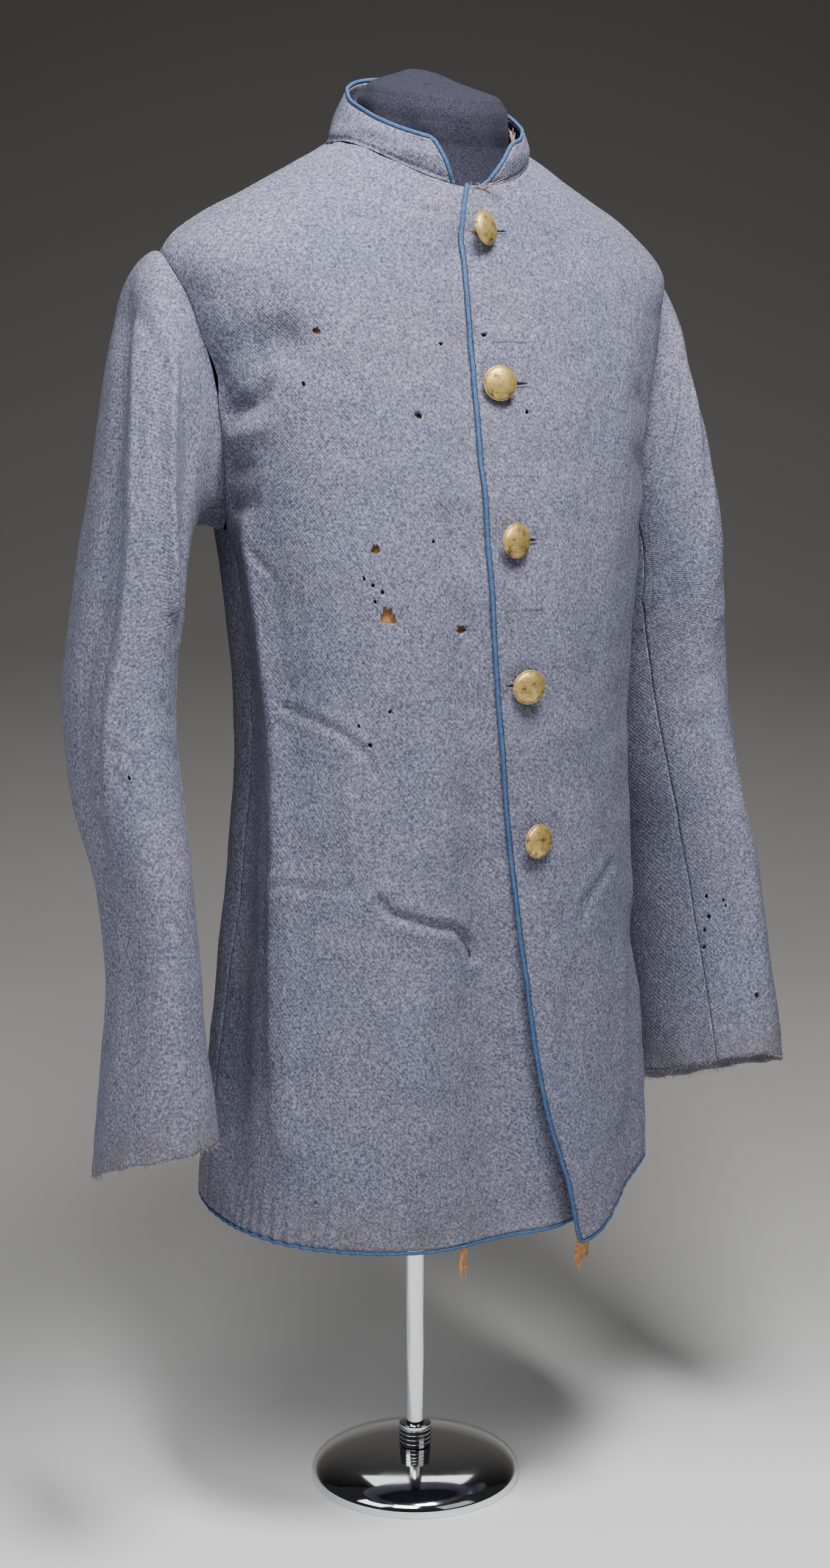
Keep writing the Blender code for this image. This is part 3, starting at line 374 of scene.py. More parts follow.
def turn_at(across, level):
    """The turn of a place on the front, from metres across it."""
    row = read_table(BODY, level)
    return np.arcsin(power_wave(across / row[..., 3], 4 / row[..., 7]))


def line_distance(path, turn, level):
    """The metres on the body's cloth from each place to the nearest point of a path."""
    spots = np.stack([np.radians(path[:, 0]) * BODY_RADIUS, path[:, 1] * BODY_RUN], axis=-1)
    here = np.stack([turn * BODY_RADIUS, level * BODY_RUN], axis=-1)[..., None, :]
    run = np.diff(spots, axis=0)
    share = np.clip(((here - spots[:-1]) * run).sum(axis=-1) / (run ** 2).sum(axis=-1), 0, 1)
    return np.linalg.norm(here - spots[:-1] - share[..., None] * run, axis=-1).min(axis=-1)


def button_dimples(turn, level):
    """The cloth drawn in under each button, deepest at its shank and gone a button's width away."""
    middle = turn_at(BUTTONS[:, 1], BUTTONS[:, 0])
    across = (turn[..., None] - middle) * BODY_RADIUS
    along = (level[..., None] - BUTTONS[:, 0]) * BODY_RUN
    return -DIMPLE * np.exp(-(across ** 2 + along ** 2) / DIMPLE_REACH ** 2).sum(axis=-1)


def hem_puckers(turn, level):
    """Small upright gathers where the hem's piping is sewn on, deepest on the wearer's right."""
    across = turn * BODY_RADIUS
    gathers = np.sin(across * 2 * math.pi / PUCKER_PITCH + 2.0 * np.sin(across / 0.017))
    depth = 0.35 + 0.9 * np.exp(-((turn + 1.05) / 0.42) ** 2)
    return PUCKER * gathers * depth * np.exp(-(level / PUCKER_REACH) ** 1.5)


def armhole_hold(turn, level):
    """1 on the open cloth, falling to 0 at an armhole's seam, where the sleeve holds the cloth."""
    apart = np.abs((turn + math.pi) % (2 * math.pi) - math.pi)
    ahead = SIDE_SEAM - armhole_bite(level, ARMHOLE_FRONT) - apart
    behind = apart - SIDE_SEAM - armhole_bite(level, ARMHOLE_BACK)
    beside_seam = ease_between(0.0, 0.09, np.maximum(ahead, behind))
    within = ease_between(ARMHOLE_RISE, ARMHOLE_RISE + 0.02, np.abs(level - ARMHOLE_LEVEL))
    return np.maximum(beside_seam, within)


def body_relief(turn, level):
    """How far the cloth stands out from the plain body: creases, sewn lines, gathers and unevenness."""
    relief = crease_height(BODY_CREASES, turn, level, BODY_RADIUS, BODY_RUN)
    for path, width, depth in SEWN_LINES:
        distance = line_distance(path, turn, level)
        relief = relief - depth * np.exp(-(distance / width) ** 2)
        beside = (distance - ROLL_PLACE * width) / (ROLL_WIDTH * width)
        relief = relief + ROLL_SHARE * depth * np.exp(-beside ** 2)
    relief = relief + button_dimples(turn, level) + hem_puckers(turn, level)
    for height, size, seed in BODY_RIPPLES:
        relief = relief + height * ripple(turn, level, *BODY_SIZE, size, seed)
    return relief * armhole_hold(turn, level)


def shoulder_swell(turn, level):
    """How far the cloth stands out where a sleeve's head is eased in at the top of its armhole."""
    apart = np.abs((turn + math.pi) % (2 * math.pi) - math.pi)
    aside = (apart - SIDE_SEAM) * BODY_RADIUS
    above = (level - ARMHOLE_LEVEL - ARMHOLE_RISE) * BODY_RUN
    return SHOULDER_SWELL * np.exp(-(aside ** 2 + above ** 2) / SWELL_REACH ** 2)


def body_cloth(turn, level, out):
    """A point of the coat's body with its creases, moved out by some metres."""
    out = np.asarray(out) + body_relief(turn, level) + shoulder_swell(turn, level)
    return body_point(turn, level) + body_normal(turn, level) * out[..., None]


def lap_lift(turn, level):
    """How far the left front stands out, where it lies on the right front."""
    right_edge = read_table(FRONT_EDGES, level)[..., 1]
    half_width = read_table(BODY, level)[..., 3]
    past = half_width * np.sin(np.clip(turn, -1.5, 1.5)) - right_edge
    return (CLOTH + LAP_GAP) * (1 - ease_between(LAP_FLAT, LAP_FADE, past))


def left_cloth(turn, level, out):
    """A point of the left front: lifted where it laps, and hanging lower at its bottom corner."""
    edge = read_table(FRONT_EDGES, level)[..., 0]
    half_width = read_table(BODY, level)[..., 3]
    past = half_width * np.sin(np.clip(turn, -1.5, 1.5)) - edge
    drop = LEFT_CORNER_DROP * (1 - ease_between(0, LEFT_CORNER_WIDTH, past))
    drop = drop * (1 - ease_between(0, HEM_RISE_FADE, level))
    flare = LEFT_FLARE * (1 - ease_between(0, LEFT_FLARE_WIDTH, past))
    flare = flare * (1 - ease_between(0, LEFT_FLARE_TOP, level))
    point = body_cloth(turn, level, lap_lift(turn, level) + flare + out)
    return point - np.stack([np.zeros(drop.shape), np.zeros(drop.shape), drop], axis=-1)


def armhole_bite(levels, reach):
    """How far the armhole cuts into a panel, as a turn. It cuts deeper in its upper half."""
    height = np.clip((levels - ARMHOLE_LEVEL) / ARMHOLE_RISE, -1, 1)
    return reach * (1 + ARMHOLE_LEAN * height) * np.sqrt(1 - height ** 2)


def armhole_place(turns):
    """Where on the body the edge of the left armhole runs, at each turn of the sleeve."""
    level = ARMHOLE_LEVEL + ARMHOLE_RISE * np.cos(turns)
    reach = np.where(np.sin(turns) > 0, ARMHOLE_FRONT, -ARMHOLE_BACK)
    return SIDE_SEAM - armhole_bite(level, reach), level


def armhole_ring(turns, out):
    """The edge of the left armhole at each turn of the sleeve, drawn in by the seam's gap."""
    turn, level = armhole_place(turns)
    ring = body_point(turn, level) + body_normal(turn, level) * out
    middle_levels = np.linspace(ARMHOLE_LEVEL - ARMHOLE_RISE, ARMHOLE_LEVEL + ARMHOLE_RISE, 8)
    centre = body_point(np.full(8, SIDE_SEAM), middle_levels)
    return ring + unit(centre.mean(axis=0) - ring) * GAP


def sleeve_section(side, turn, level, out):
    """A squared ellipse across the arm, tilted and toed out, with the sleeve's large folds added."""
    row = read_table(SLEEVE, level)
    outer_x, outer_z, inner_x, inner_z, forward, half_width, toe, slope, extra = np.moveaxis(row, -1, 0)
    reach = extra if side < 0 else 0
    folds = RIGHT_SLEEVE_FOLDS if side < 0 else LEFT_SLEEVE_FOLDS
    middle = np.stack([(outer_x + inner_x) / 2 + reach, -forward, (outer_z + inner_z) / 2], axis=-1)
    span = np.stack([outer_x - inner_x, np.zeros(outer_x.shape), outer_z - inner_z], axis=-1) / 2
    half_span = np.linalg.norm(span, axis=-1)
    toe = np.radians(toe)
    lean = span[..., 0] / half_span
    outwards = np.stack([lean * np.cos(toe), lean * np.sin(toe), span[..., 2] / half_span], axis=-1)
    ahead = np.stack([np.sin(toe), -np.cos(toe), slope], axis=-1)
    fold = fold_height(folds, turn, level, SLEEVE_RADIUS, SLEEVE_RUN) * ease_between(0.02, 0.14, level)
    grown = out + fold
    across = (half_span * power_wave(np.cos(turn), SLEEVE_SQUARENESS) + grown * np.cos(turn))[..., None]
    along = (half_width * power_wave(np.sin(turn), SLEEVE_SQUARENESS) + grown * np.sin(turn))[..., None]
    return middle + outwards * across + ahead * along


def sleeve_relief(side, turn, level):
    """How far the sleeve's cloth stands out: creases, a soft roll at the cuff and unevenness."""
    creases = RIGHT_SLEEVE_CREASES if side < 0 else LEFT_SLEEVE_CREASES
    relief = crease_height(creases, turn, level, SLEEVE_RADIUS, SLEEVE_RUN)
    roll = np.sin(9 * turn + 2 * np.sin(2 * turn))
    relief = relief + CUFF_ROLL * roll * np.exp(-((1 - level) / 0.05) ** 2)
    for height, size, seed in SLEEVE_RIPPLES:
        relief = relief + height * ripple(turn, level, *SLEEVE_SIZE, size, seed + side)
    return relief * ease_between(0.0, 0.06, level)


def sleeve_cloth(side, turn, level, out):
    """A sleeve's point: its section, drawn smoothly onto the armhole over the first tenth.

    The raw cuff is a little wavy: it hangs lower or higher by two waves of the turn.
    """
    join = ease_between(0, SLEEVE_JOIN, level)[..., None]
    head = SLEEVE_HEAD * np.sin(math.pi * np.clip(level / HEAD_REACH, 0, 1))
    head = head * ease_between(-0.6, 0.2, np.cos(turn))
    swell = shoulder_swell(*armhole_place(turn)) * np.exp(-(level / SWELL_FADE) ** 2)
    out = out + head + swell + sleeve_relief(side, turn, level)
    ring = armhole_ring(turn, out[..., None])
    point = ring * (1 - join) + sleeve_section(side, turn, level, out) * join
    wave = CUFF_WAVE * np.sin(3 * turn + 1.0 + side) + CUFF_FLUTTER * np.sin(11 * turn + side)
    point[..., 2] += wave * np.exp(-((1 - level) / 0.04) ** 2)
    return point * np.array([side, 1, 1])


def collar_point(turn, height):
    """The collar's outer face: straight lines from the neck seam to its top edge, swelled a little."""
    low = body_point(turn, np.ones(turn.shape))
    ahead = np.cos(turn)
    high = np.stack([
        COLLAR_TOP_WIDTH * np.sin(turn),
        -COLLAR_TOP_MIDDLE - COLLAR_TOP_DEPTH * ahead,
        COLLAR_TOP_BACK + (COLLAR_TOP_FRONT - COLLAR_TOP_BACK) * (1 + ahead) / 2,
    ], axis=-1)
    height = height[..., None]
    out = np.stack([np.sin(turn), -ahead, np.zeros(turn.shape)], axis=-1)
    return low + (high - low) * height + out * COLLAR_SWELL * np.sin(math.pi * height)


def collar_grid(columns, rows):
    """Turns and heights of the collar's points. The front ends slope back and their corners are round."""
    height, part = np.meshgrid(np.linspace(0, 1, rows + 1), np.linspace(0, 1, columns + 1), indexing="ij")
    slope = height + height ** 3 * COLLAR_CORNER
    whole = 1 + COLLAR_CORNER
    left = COLLAR_LEFT_LOW + (COLLAR_LEFT_HIGH - COLLAR_LEFT_LOW) * slope / whole
    right = COLLAR_RIGHT_LOW + (COLLAR_RIGHT_HIGH - COLLAR_RIGHT_LOW) * slope / whole
    return np.radians(left + (right - left) * part), height


# Creases, narrower than the folds, negative for a trough
# columns: start turn in degrees, start level, end turn, end level, bow, half width, lean, height
BODY_CREASES = np.array([
    [-86.0, 0.728, -57.0, 0.742, 0.002, 0.0065, 0.2, -0.0046],
    [-88.0, 0.703, -56.0, 0.722, 0.003, 0.0080, 0.2, 0.0036],
    [-95.0, 0.668, -70.0, 0.681, 0.002, 0.0060, 0.3, -0.0044],
    [-96.0, 0.642, -70.0, 0.653, 0.002, 0.0060, 0.3, -0.0038],
    [-80.0, 0.622, -68.0, 0.588, 0.001, 0.0035, 0.3, -0.0018],
    [-88.0, 0.706, -54.0, 0.760, 0.004, 0.0100, 0.3, -0.0062],
    [-66.0, 0.742, -38.0, 0.822, 0.004, 0.0120, 0.3, -0.0052],
    [-80.0, 0.744, -60.0, 0.790, 0.002, 0.0070, 0.3, 0.0024],
    [-11.0, 0.600, -5.0, 0.330, 0.003, 0.0150, -0.3, -0.0030],
    [-8.0, 0.430, 3.0, -0.100, 0.003, 0.0200, -0.4, -0.0110],
    [-72.0, 0.752, -46.0, 0.770, -0.003, 0.0090, 0.2, 0.0022],
    [-79.0, 0.640, -73.0, 0.440, 0.004, 0.0070, -0.4, 0.0022],
    [-74.0, 0.440, -62.0, 0.080, 0.005, 0.0080, -0.4, 0.0024],
    [-47.0, 0.966, -9.0, 0.942, 0.003, 0.0042, 0.3, -0.0016],
    [-42.0, 0.955, -14.0, 0.930, 0.002, 0.0055, 0.1, 0.0010],
    [-5.0, 0.935, -8.0, 0.740, -0.004, 0.0110, -0.5, -0.0026],
    [-13.0, 0.870, -3.0, 0.930, 0.002, 0.0060, 0.2, -0.0018],
    [-46.0, 0.470, -43.0, 0.345, 0.004, 0.0130, 0.1, 0.0022],
    [-36.0, 0.470, -30.0, 0.360, -0.003, 0.0120, 0.1, -0.0016],
    [-27.0, 0.250, -20.0, 0.030, 0.006, 0.0140, 0.2, 0.0024],
    [-40.0, 0.230, -37.0, 0.020, 0.004, 0.0150, 0.1, -0.0016],
    [-16.0, 0.600, -9.0, 0.545, 0.002, 0.0060, 0.2, -0.0016],
    [-14.0, 0.640, -6.0, 0.600, 0.002, 0.0060, 0.2, -0.0014],
    [-17.0, 0.520, -8.0, 0.480, 0.002, 0.0070, 0.2, -0.0014],
    [-10.0, 0.300, 0.0, 0.250, 0.002, 0.0060, 0.2, -0.0022],
    [-9.0, 0.240, 3.0, 0.190, 0.002, 0.0070, 0.2, 0.0014],
    [12.0, 0.780, 26.0, 0.800, 0.002, 0.0080, 0.2, -0.0010],
    [11.0, 0.650, 24.0, 0.640, 0.002, 0.0080, 0.2, -0.0009],
    [10.0, 0.460, 34.0, 0.400, 0.006, 0.0140, 0.2, -0.0016],
    [24.0, 0.330, 10.0, 0.100, 0.006, 0.0140, 0.2, -0.0018],
    [44.0, 0.290, 34.0, 0.060, -0.005, 0.0130, 0.2, 0.0020],
    [60.0, 0.720, 40.0, 0.760, 0.003, 0.0090, 0.2, -0.0022],
    [66.0, 0.660, 46.0, 0.700, 0.003, 0.0080, 0.2, -0.0016],
    [74.0, 0.610, 58.0, 0.640, 0.002, 0.0070, 0.2, -0.0016],
    [126.0, 0.760, 152.0, 0.800, 0.004, 0.0100, 0.2, -0.0026],
    [124.0, 0.710, 146.0, 0.730, 0.003, 0.0070, 0.2, -0.0022],
    [122.0, 0.655, 140.0, 0.660, 0.002, 0.0060, 0.2, -0.0020],
    [-126.0, 0.770, -150.0, 0.804, 0.004, 0.0100, 0.2, -0.0026],
    [-123.0, 0.700, -147.0, 0.722, 0.003, 0.0075, 0.2, -0.0024],
    [-121.0, 0.650, -136.0, 0.664, 0.002, 0.0060, 0.2, -0.0018],
    [160.0, 0.520, 196.0, 0.500, 0.004, 0.0110, 0.2, -0.0018],
    [168.0, 0.460, 206.0, 0.452, -0.003, 0.0100, 0.2, -0.0014],
    [146.0, 0.200, 150.0, 0.020, 0.004, 0.0120, 0.2, 0.0018],
    [205.0, 0.230, 208.0, 0.010, 0.004, 0.0130, 0.2, 0.0020],
])
# columns as above, with the turn measured on the sleeve
RIGHT_SLEEVE_CREASES = np.array([
    [-4.0, 0.090, 40.0, 0.370, 0.002, 0.0090, 0.4, -0.0075],
    [34.0, 0.310, 52.0, 0.500, 0.002, 0.0090, 0.4, -0.0080],
    [52.0, 0.430, 20.0, 0.700, 0.004, 0.0090, 0.4, -0.0085],
    [10.0, 0.680, -8.0, 0.880, 0.003, 0.0090, 0.3, -0.0034],
    [12.0, 0.120, 54.0, 0.380, 0.002, 0.0050, -0.5, 0.0026],
    [50.0, 0.330, 64.0, 0.500, 0.002, 0.0050, -0.5, 0.0026],
    [64.0, 0.450, 34.0, 0.700, 0.004, 0.0050, -0.5, 0.0028],
    [20.0, 0.680, 6.0, 0.860, 0.003, 0.0060, -0.5, 0.0016],
    [66.0, 0.070, 94.0, 0.300, 0.002, 0.0065, 0.4, 0.0042],
    [88.0, 0.220, 116.0, 0.430, 0.002, 0.0065, 0.4, 0.0036],
    [92.0, 0.060, 118.0, 0.300, 0.002, 0.0110, 0.2, -0.0048],
    [112.0, 0.220, 136.0, 0.420, 0.002, 0.0110, 0.2, -0.0040],
    [52.0, 0.070, 96.0, 0.150, 0.002, 0.0080, 0.2, -0.0026],
    [50.0, 0.588, 82.0, 0.602, 0.003, 0.0050, 0.2, -0.0016],
    [56.0, 0.612, 78.0, 0.622, -0.002, 0.0045, 0.2, -0.0012],
    [60.0, 0.560, 74.0, 0.640, 0.002, 0.0060, 0.2, 0.0010],
    [96.0, 0.520, 138.0, 0.560, 0.004, 0.0080, 0.2, -0.0022],
    [104.0, 0.570, 146.0, 0.600, 0.003, 0.0070, 0.2, -0.0018],
    [14.0, 0.720, 4.0, 0.990, 0.004, 0.0120, 0.1, 0.0024],
    [44.0, 0.760, 40.0, 0.990, -0.003, 0.0120, 0.1, -0.0014],
    [104.0, 0.740, 108.0, 0.960, 0.004, 0.0140, 0.1, -0.0026],
    [-30.0, 0.420, -52.0, 0.620, 0.004, 0.0120, 0.1, -0.0024],
    [196.0, 0.520, 232.0, 0.600, 0.004, 0.0090, 0.2, -0.0024],
    [250.0, 0.300, 286.0, 0.480, 0.004, 0.0120, 0.2, -0.0020],
    [262.0, 0.640, 250.0, 0.940, 0.004, 0.0120, 0.2, 0.0018],
])
LEFT_SLEEVE_CREASES = np.array([
    [64.0, 0.090, 128.0, 0.155, 0.003, 0.0075, 0.3, -0.0032],
    [56.0, 0.130, 104.0, 0.230, 0.003, 0.0100, 0.2, 0.0016],
    [50.0, 0.160, 92.0, 0.300, 0.003, 0.0100, 0.2, -0.0020],
    [112.0, 0.260, 118.0, 0.480, 0.005, 0.0140, 0.1, 0.0020],
    [136.0, 0.240, 140.0, 0.420, 0.003, 0.0100, 0.1, -0.0020],
    [96.0, 0.530, 140.0, 0.560, 0.004, 0.0090, 0.2, -0.0018],
    [100.0, 0.590, 146.0, 0.610, 0.004, 0.0080, 0.2, -0.0016],
    [84.0, 0.640, 100.0, 0.700, 0.003, 0.0120, 0.2, -0.0014],
    [120.0, 0.680, 124.0, 0.960, 0.004, 0.0140, 0.1, -0.0016],
    [92.0, 0.740, 88.0, 0.980, 0.004, 0.0140, 0.1, 0.0014],
    [30.0, 0.480, 64.0, 0.560, 0.004, 0.0110, 0.2, -0.0018],
    [10.0, 0.540, 48.0, 0.600, -0.003, 0.0090, 0.2, -0.0016],
    [196.0, 0.520, 236.0, 0.590, 0.004, 0.0090, 0.2, -0.0024],
    [256.0, 0.280, 290.0, 0.470, 0.004, 0.0120, 0.2, -0.0020],
    [268.0, 0.620, 256.0, 0.930, 0.004, 0.0120, 0.2, 0.0018],
])

# Lines sewn through to a pocket or a darn, as places on the body
# columns: turn in degrees, level
RIGHT_POCKET_TOP = np.array([
    [-71.4, 0.492], [-59.0, 0.483], [-48.6, 0.472], [-40.6, 0.454], [-38.2, 0.436],
])
RIGHT_POCKET_LOW = np.array([
    [-35.4, 0.328], [-32.6, 0.316], [-29.4, 0.313], [-20.2, 0.303],
    [-13.4, 0.298], [-8.6, 0.282], [-7.0, 0.268],
])
RIGHT_DARN = np.array([
    [-71.0, 0.337], [-66.0, 0.340], [-61.0, 0.335], [-55.0, 0.338], [-50.0, 0.334], [-45.0, 0.340],
])
LEFT_POCKET = np.array([
    [39.0, 0.336], [28.6, 0.322], [22.4, 0.308], [21.0, 0.291],
])
# columns: line, half width, depth
SEWN_LINES = (
    (RIGHT_POCKET_TOP, 0.0025, 0.0014),
    (RIGHT_POCKET_LOW, 0.0028, 0.0028),
    (RIGHT_DARN, 0.0024, 0.0010),
    (LEFT_POCKET, 0.0036, 0.0012),
)
# Buttonholes darned shut on the left front
# columns: start turn in degrees, end turn, level
SHUT_BUTTONHOLES = np.array([
    [-1.0, 5.2, 0.805],
    [-3.8, 6.2, 0.683],
    [-1.8, 7.0, 0.573],
])
# Open buttonholes, one at each button
# columns: metres to the right of the button, metres to its left, half height
OPEN_BUTTONHOLES = np.array([
    [0.002, 0.0235, 0.0009],
    [0.002, 0.0225, 0.0009],
    [0.002, 0.0190, 0.0009],
    [0.0145, 0.0080, 0.0008],
    [0.003, 0.0150, 0.0007],
])

# Moth holes, the largest of them cut through the cloth
# columns: turn in degrees, level, half width, half height
RIGHT_FRONT_HOLES = np.array([
    [-33.0, 0.568, 0.0056, 0.0048],
    [-39.8, 0.805, 0.0026, 0.0021],
    [-46.6, 0.758, 0.0014, 0.0016],
    [-10.8, 0.802, 0.0013, 0.0012],
    [-18.4, 0.735, 0.0024, 0.0018],
    [-34.6, 0.621, 0.0030, 0.0026],
    [-39.0, 0.598, 0.0011, 0.0013],
    [-36.6, 0.593, 0.0014, 0.0011],
    [-34.0, 0.588, 0.0012, 0.0015],
    [-36.4, 0.580, 0.0011, 0.0012],
    [-12.0, 0.557, 0.0034, 0.0024],
    [-18.4, 0.629, 0.0012, 0.0012],
    [-33.9, 0.491, 0.0013, 0.0011],
    [-43.7, 0.479, 0.0011, 0.0012],
    [-40.2, 0.463, 0.0017, 0.0014],
    [-88.0, 0.422, 0.0015, 0.0017],
    [-76.0, 0.276, 0.0014, 0.0018],
    [-71.2, 0.239, 0.0014, 0.0014],
    [-50.5, 0.044, 0.0012, 0.0010],
])
LEFT_FRONT_HOLES = np.array([
    [-2.2, 0.811, 0.0013, 0.0012],
    [4.4, 0.739, 0.0013, 0.0013],
])
RIGHT_SLEEVE_HOLES = np.array([
    [72.6, 0.614, 0.0012, 0.0013],
])
LEFT_SLEEVE_HOLES = np.array([
    [147.0, 0.785, 0.0013, 0.0014],
    [132.0, 0.791, 0.0012, 0.0011],
    [130.4, 0.797, 0.0011, 0.0010],
    [146.4, 0.807, 0.0015, 0.0014],
    [151.0, 0.821, 0.0012, 0.0013],
    [152.0, 0.840, 0.0014, 0.0014],
    [104.4, 0.905, 0.0027, 0.0026],
])

# The front seam of the left sleeve, as level and turn in degrees
LEFT_SLEEVE_SEAM = np.array([
    [0.00, 150.0],
    [0.25, 160.0],
    [0.36, 165.0],
    [0.52, 158.0],
    [0.64, 156.0],
    [0.72, 161.0],
    [0.80, 159.0],
    [0.87, 153.0],
    [1.00, 144.0],
])


# Meshes

# How much of the wall the edges of a cut and of a sewn edge are drawn back
CUT_EDGE, SEWN_EDGE = 0.30, 0.06


def grid_quads(rows, columns, first=0):
    """The quads of a grid of points numbered row by row."""
    corner = first + np.arange(rows - 1)[:, None] * columns + np.arange(columns - 1)
    return np.stack([corner, corner + 1, corner + columns + 1, corner + columns], axis=-1).reshape(-1, 4)


def add_piece(name, points, faces, material, replaces=(), uv=None, marks=None):
    """A smooth-shaded piece that rides on the root body, with an optional UV map and point attributes."""
    mesh = bpy.data.meshes.new(name)
    mesh.from_pydata(np.asarray(points, float).reshape(-1, 3), [], faces)
    if uv is not None:
        corners = np.empty(len(mesh.loops), np.int32)
        mesh.loops.foreach_get("vertex_index", corners)
        mesh.uv_layers.new(name="cloth").data.foreach_set("uv", uv.reshape(-1, 2)[corners].ravel())
    for mark, values in (marks or {}).items():
        layer = mesh.attributes.new(mark, "FLOAT", "POINT")
        layer.data.foreach_set("value", np.asarray(values, np.float32).ravel())
    mesh.shade_smooth()
    mesh.materials.append(material)
    obj = bpy.data.objects.new(name, mesh)
    bpy.context.scene.collection.objects.link(obj)
    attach(obj, "root")
    if replaces:
        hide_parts(*replaces)
    return obj


def add_shell(name, outer, inner, uv, material, replaces=(), marks=None, rounding=(0.36, 0.36, 0.36, 0.36)):
    """A cloth wall between two grids, closed by a rounded rim.

    The rim's middle lies halfway between the two grids' edges. The edges themselves are drawn back
    from it by a share of the wall, so that a cut edge is round. The rounding gives that share for
    the first row, the last column, the last row and the first column, and a sewn seam has little.
    """
    rows, columns = outer.shape[:2]
    at = np.arange(rows * columns).reshape(rows, columns)
    rim = np.concatenate([at[0, :-1], at[:-1, -1], at[-1, :0:-1], at[:0:-1, 0]])
    next_in = np.concatenate([at[1, :-1], at[:-1, -2], at[-2, :0:-1], at[:0:-1, 1]])
    share = np.repeat(rounding, [columns - 1, rows - 1, columns - 1, rows - 1])[:, None]
    middle = (outer.reshape(-1, 3)[rim] + inner.reshape(-1, 3)[rim]) / 2
    wall = np.linalg.norm(outer - inner, axis=-1).mean()
    grids = []
    for grid in (outer, inner):
        flat = grid.reshape(-1, 3).copy()
        back = unit(flat[next_in] - flat[rim])
        flat[rim] += back * wall * share
        flat[rim] += (middle - flat[rim]) * share / 3
        grids.append(flat)
    points = np.concatenate([grids[0], grids[1], middle])
    count = rows * columns
    follow = np.roll(np.arange(len(rim)), -1)
    lips = []
    for start in (0, count):
        here, there = rim + start, rim[follow] + start
        edge, edge_next = 2 * count + np.arange(len(rim)), 2 * count + follow
        lip = np.stack([here, edge, edge_next, there], axis=-1)
        lips.append(lip if start == 0 else lip[:, ::-1])
    quads = np.concatenate([grid_quads(rows, columns), grid_quads(rows, columns, count)[:, ::-1], *lips])
    around, along = outer[rows // 2, columns // 2 + 1], outer[rows // 2 + 1, columns // 2]
    here = outer[rows // 2, columns // 2]
    if np.dot(np.cross(around - here, along - here), here - inner[rows // 2, columns // 2]) < 0:
        quads = quads[:, ::-1]
    flat_uv = uv.reshape(-1, 2)
    uv = np.concatenate([flat_uv, flat_uv, flat_uv[rim]])
    spread = {}
    for mark, values in (marks or {}).items():
        flat = np.broadcast_to(values, outer.shape[:2]).reshape(-1)
        spread[mark] = np.concatenate([flat, flat, flat[rim]])
    return add_piece(name, points, quads, material, replaces, uv, spread)


def add_tube(name, path, upwards, radius, sides, material, replaces=(), section=None):
    """A cord: rings square to a path, each turned so that its top faces upwards, with rounded ends.

    Section gives the radius at each angle round the ring as a share of the radius.
    """
    ahead = unit(np.gradient(path, axis=0))
    across = unit(np.cross(ahead, upwards))
    top = np.cross(across, ahead)
    angle = np.linspace(0, 2 * math.pi, sides, endpoint=False)
    share = np.ones(sides) if section is None else section(angle)
    spokes = np.sin(angle)[:, None] * share[:, None], np.cos(angle)[:, None] * share[:, None]
    end_shares = np.array([0.02, 0.6, 0.9])
    end_steps = np.array([-0.9, -0.7, -0.35]) * radius
    start = path[:1] + ahead[:1] * end_steps[:, None]
    finish = path[-1:] - ahead[-1:] * end_steps[::-1, None]
    path = np.concatenate([start, path, finish])
    across = np.concatenate([np.repeat(across[:1], 3, 0), across, np.repeat(across[-1:], 3, 0)])
    top = np.concatenate([np.repeat(top[:1], 3, 0), top, np.repeat(top[-1:], 3, 0)])
    girth = np.concatenate([end_shares, np.ones(len(path) - 6), end_shares[::-1]]) * radius
    rings = path[:, None] + girth[:, None, None] * (across[:, None] * spokes[0] + top[:, None] * spokes[1])
    run = np.concatenate([[0], np.cumsum(np.linalg.norm(np.diff(path, axis=0), axis=1))])
    rings = np.concatenate([rings, rings[:, :1]], axis=1)
    uv = np.stack(np.meshgrid(np.linspace(0, 1, sides + 1), run), axis=-1)
    obj = add_piece(name, rings, grid_quads(len(path), sides + 1)[:, ::-1], material, replaces, uv)
    return close_up(obj)


def add_threads(name, paths, out, radius, material, sides=5):
    """Short threads in one piece: rings square to each path, thinner at both ends and closed there.

    Paths holds a row of points for each thread, and out the directions that the threads' tops face.
    """
    threads, steps = paths.shape[:2]
    ahead = unit(np.gradient(paths, axis=1))
    across = unit(np.cross(ahead, np.broadcast_to(out, paths.shape)))
    top = np.cross(across, ahead)
    angle = np.linspace(0, 2 * math.pi, sides, endpoint=False)
    girth = radius * (1 - 0.55 * np.abs(np.linspace(-1, 1, steps)) ** 4)
    ring = across[:, :, None] * np.sin(angle)[:, None] + top[:, :, None] * np.cos(angle)[:, None]
    rings = paths[:, :, None] + girth[:, None, None] * ring
    here = np.arange(sides)
    after = (here + 1) % sides
    row = (np.arange(threads)[:, None, None] * steps + np.arange(steps - 1)[:, None]) * sides
    walls = np.stack([row + here, row + sides + here, row + sides + after, row + after], axis=-1)
    first = np.arange(threads)[:, None] * steps * sides + here
    last = first + (steps - 1) * sides
    faces = walls.reshape(-1, 4).tolist() + first.tolist() + last[:, ::-1].tolist()
    return close_up(add_piece(name, rings, faces, material))


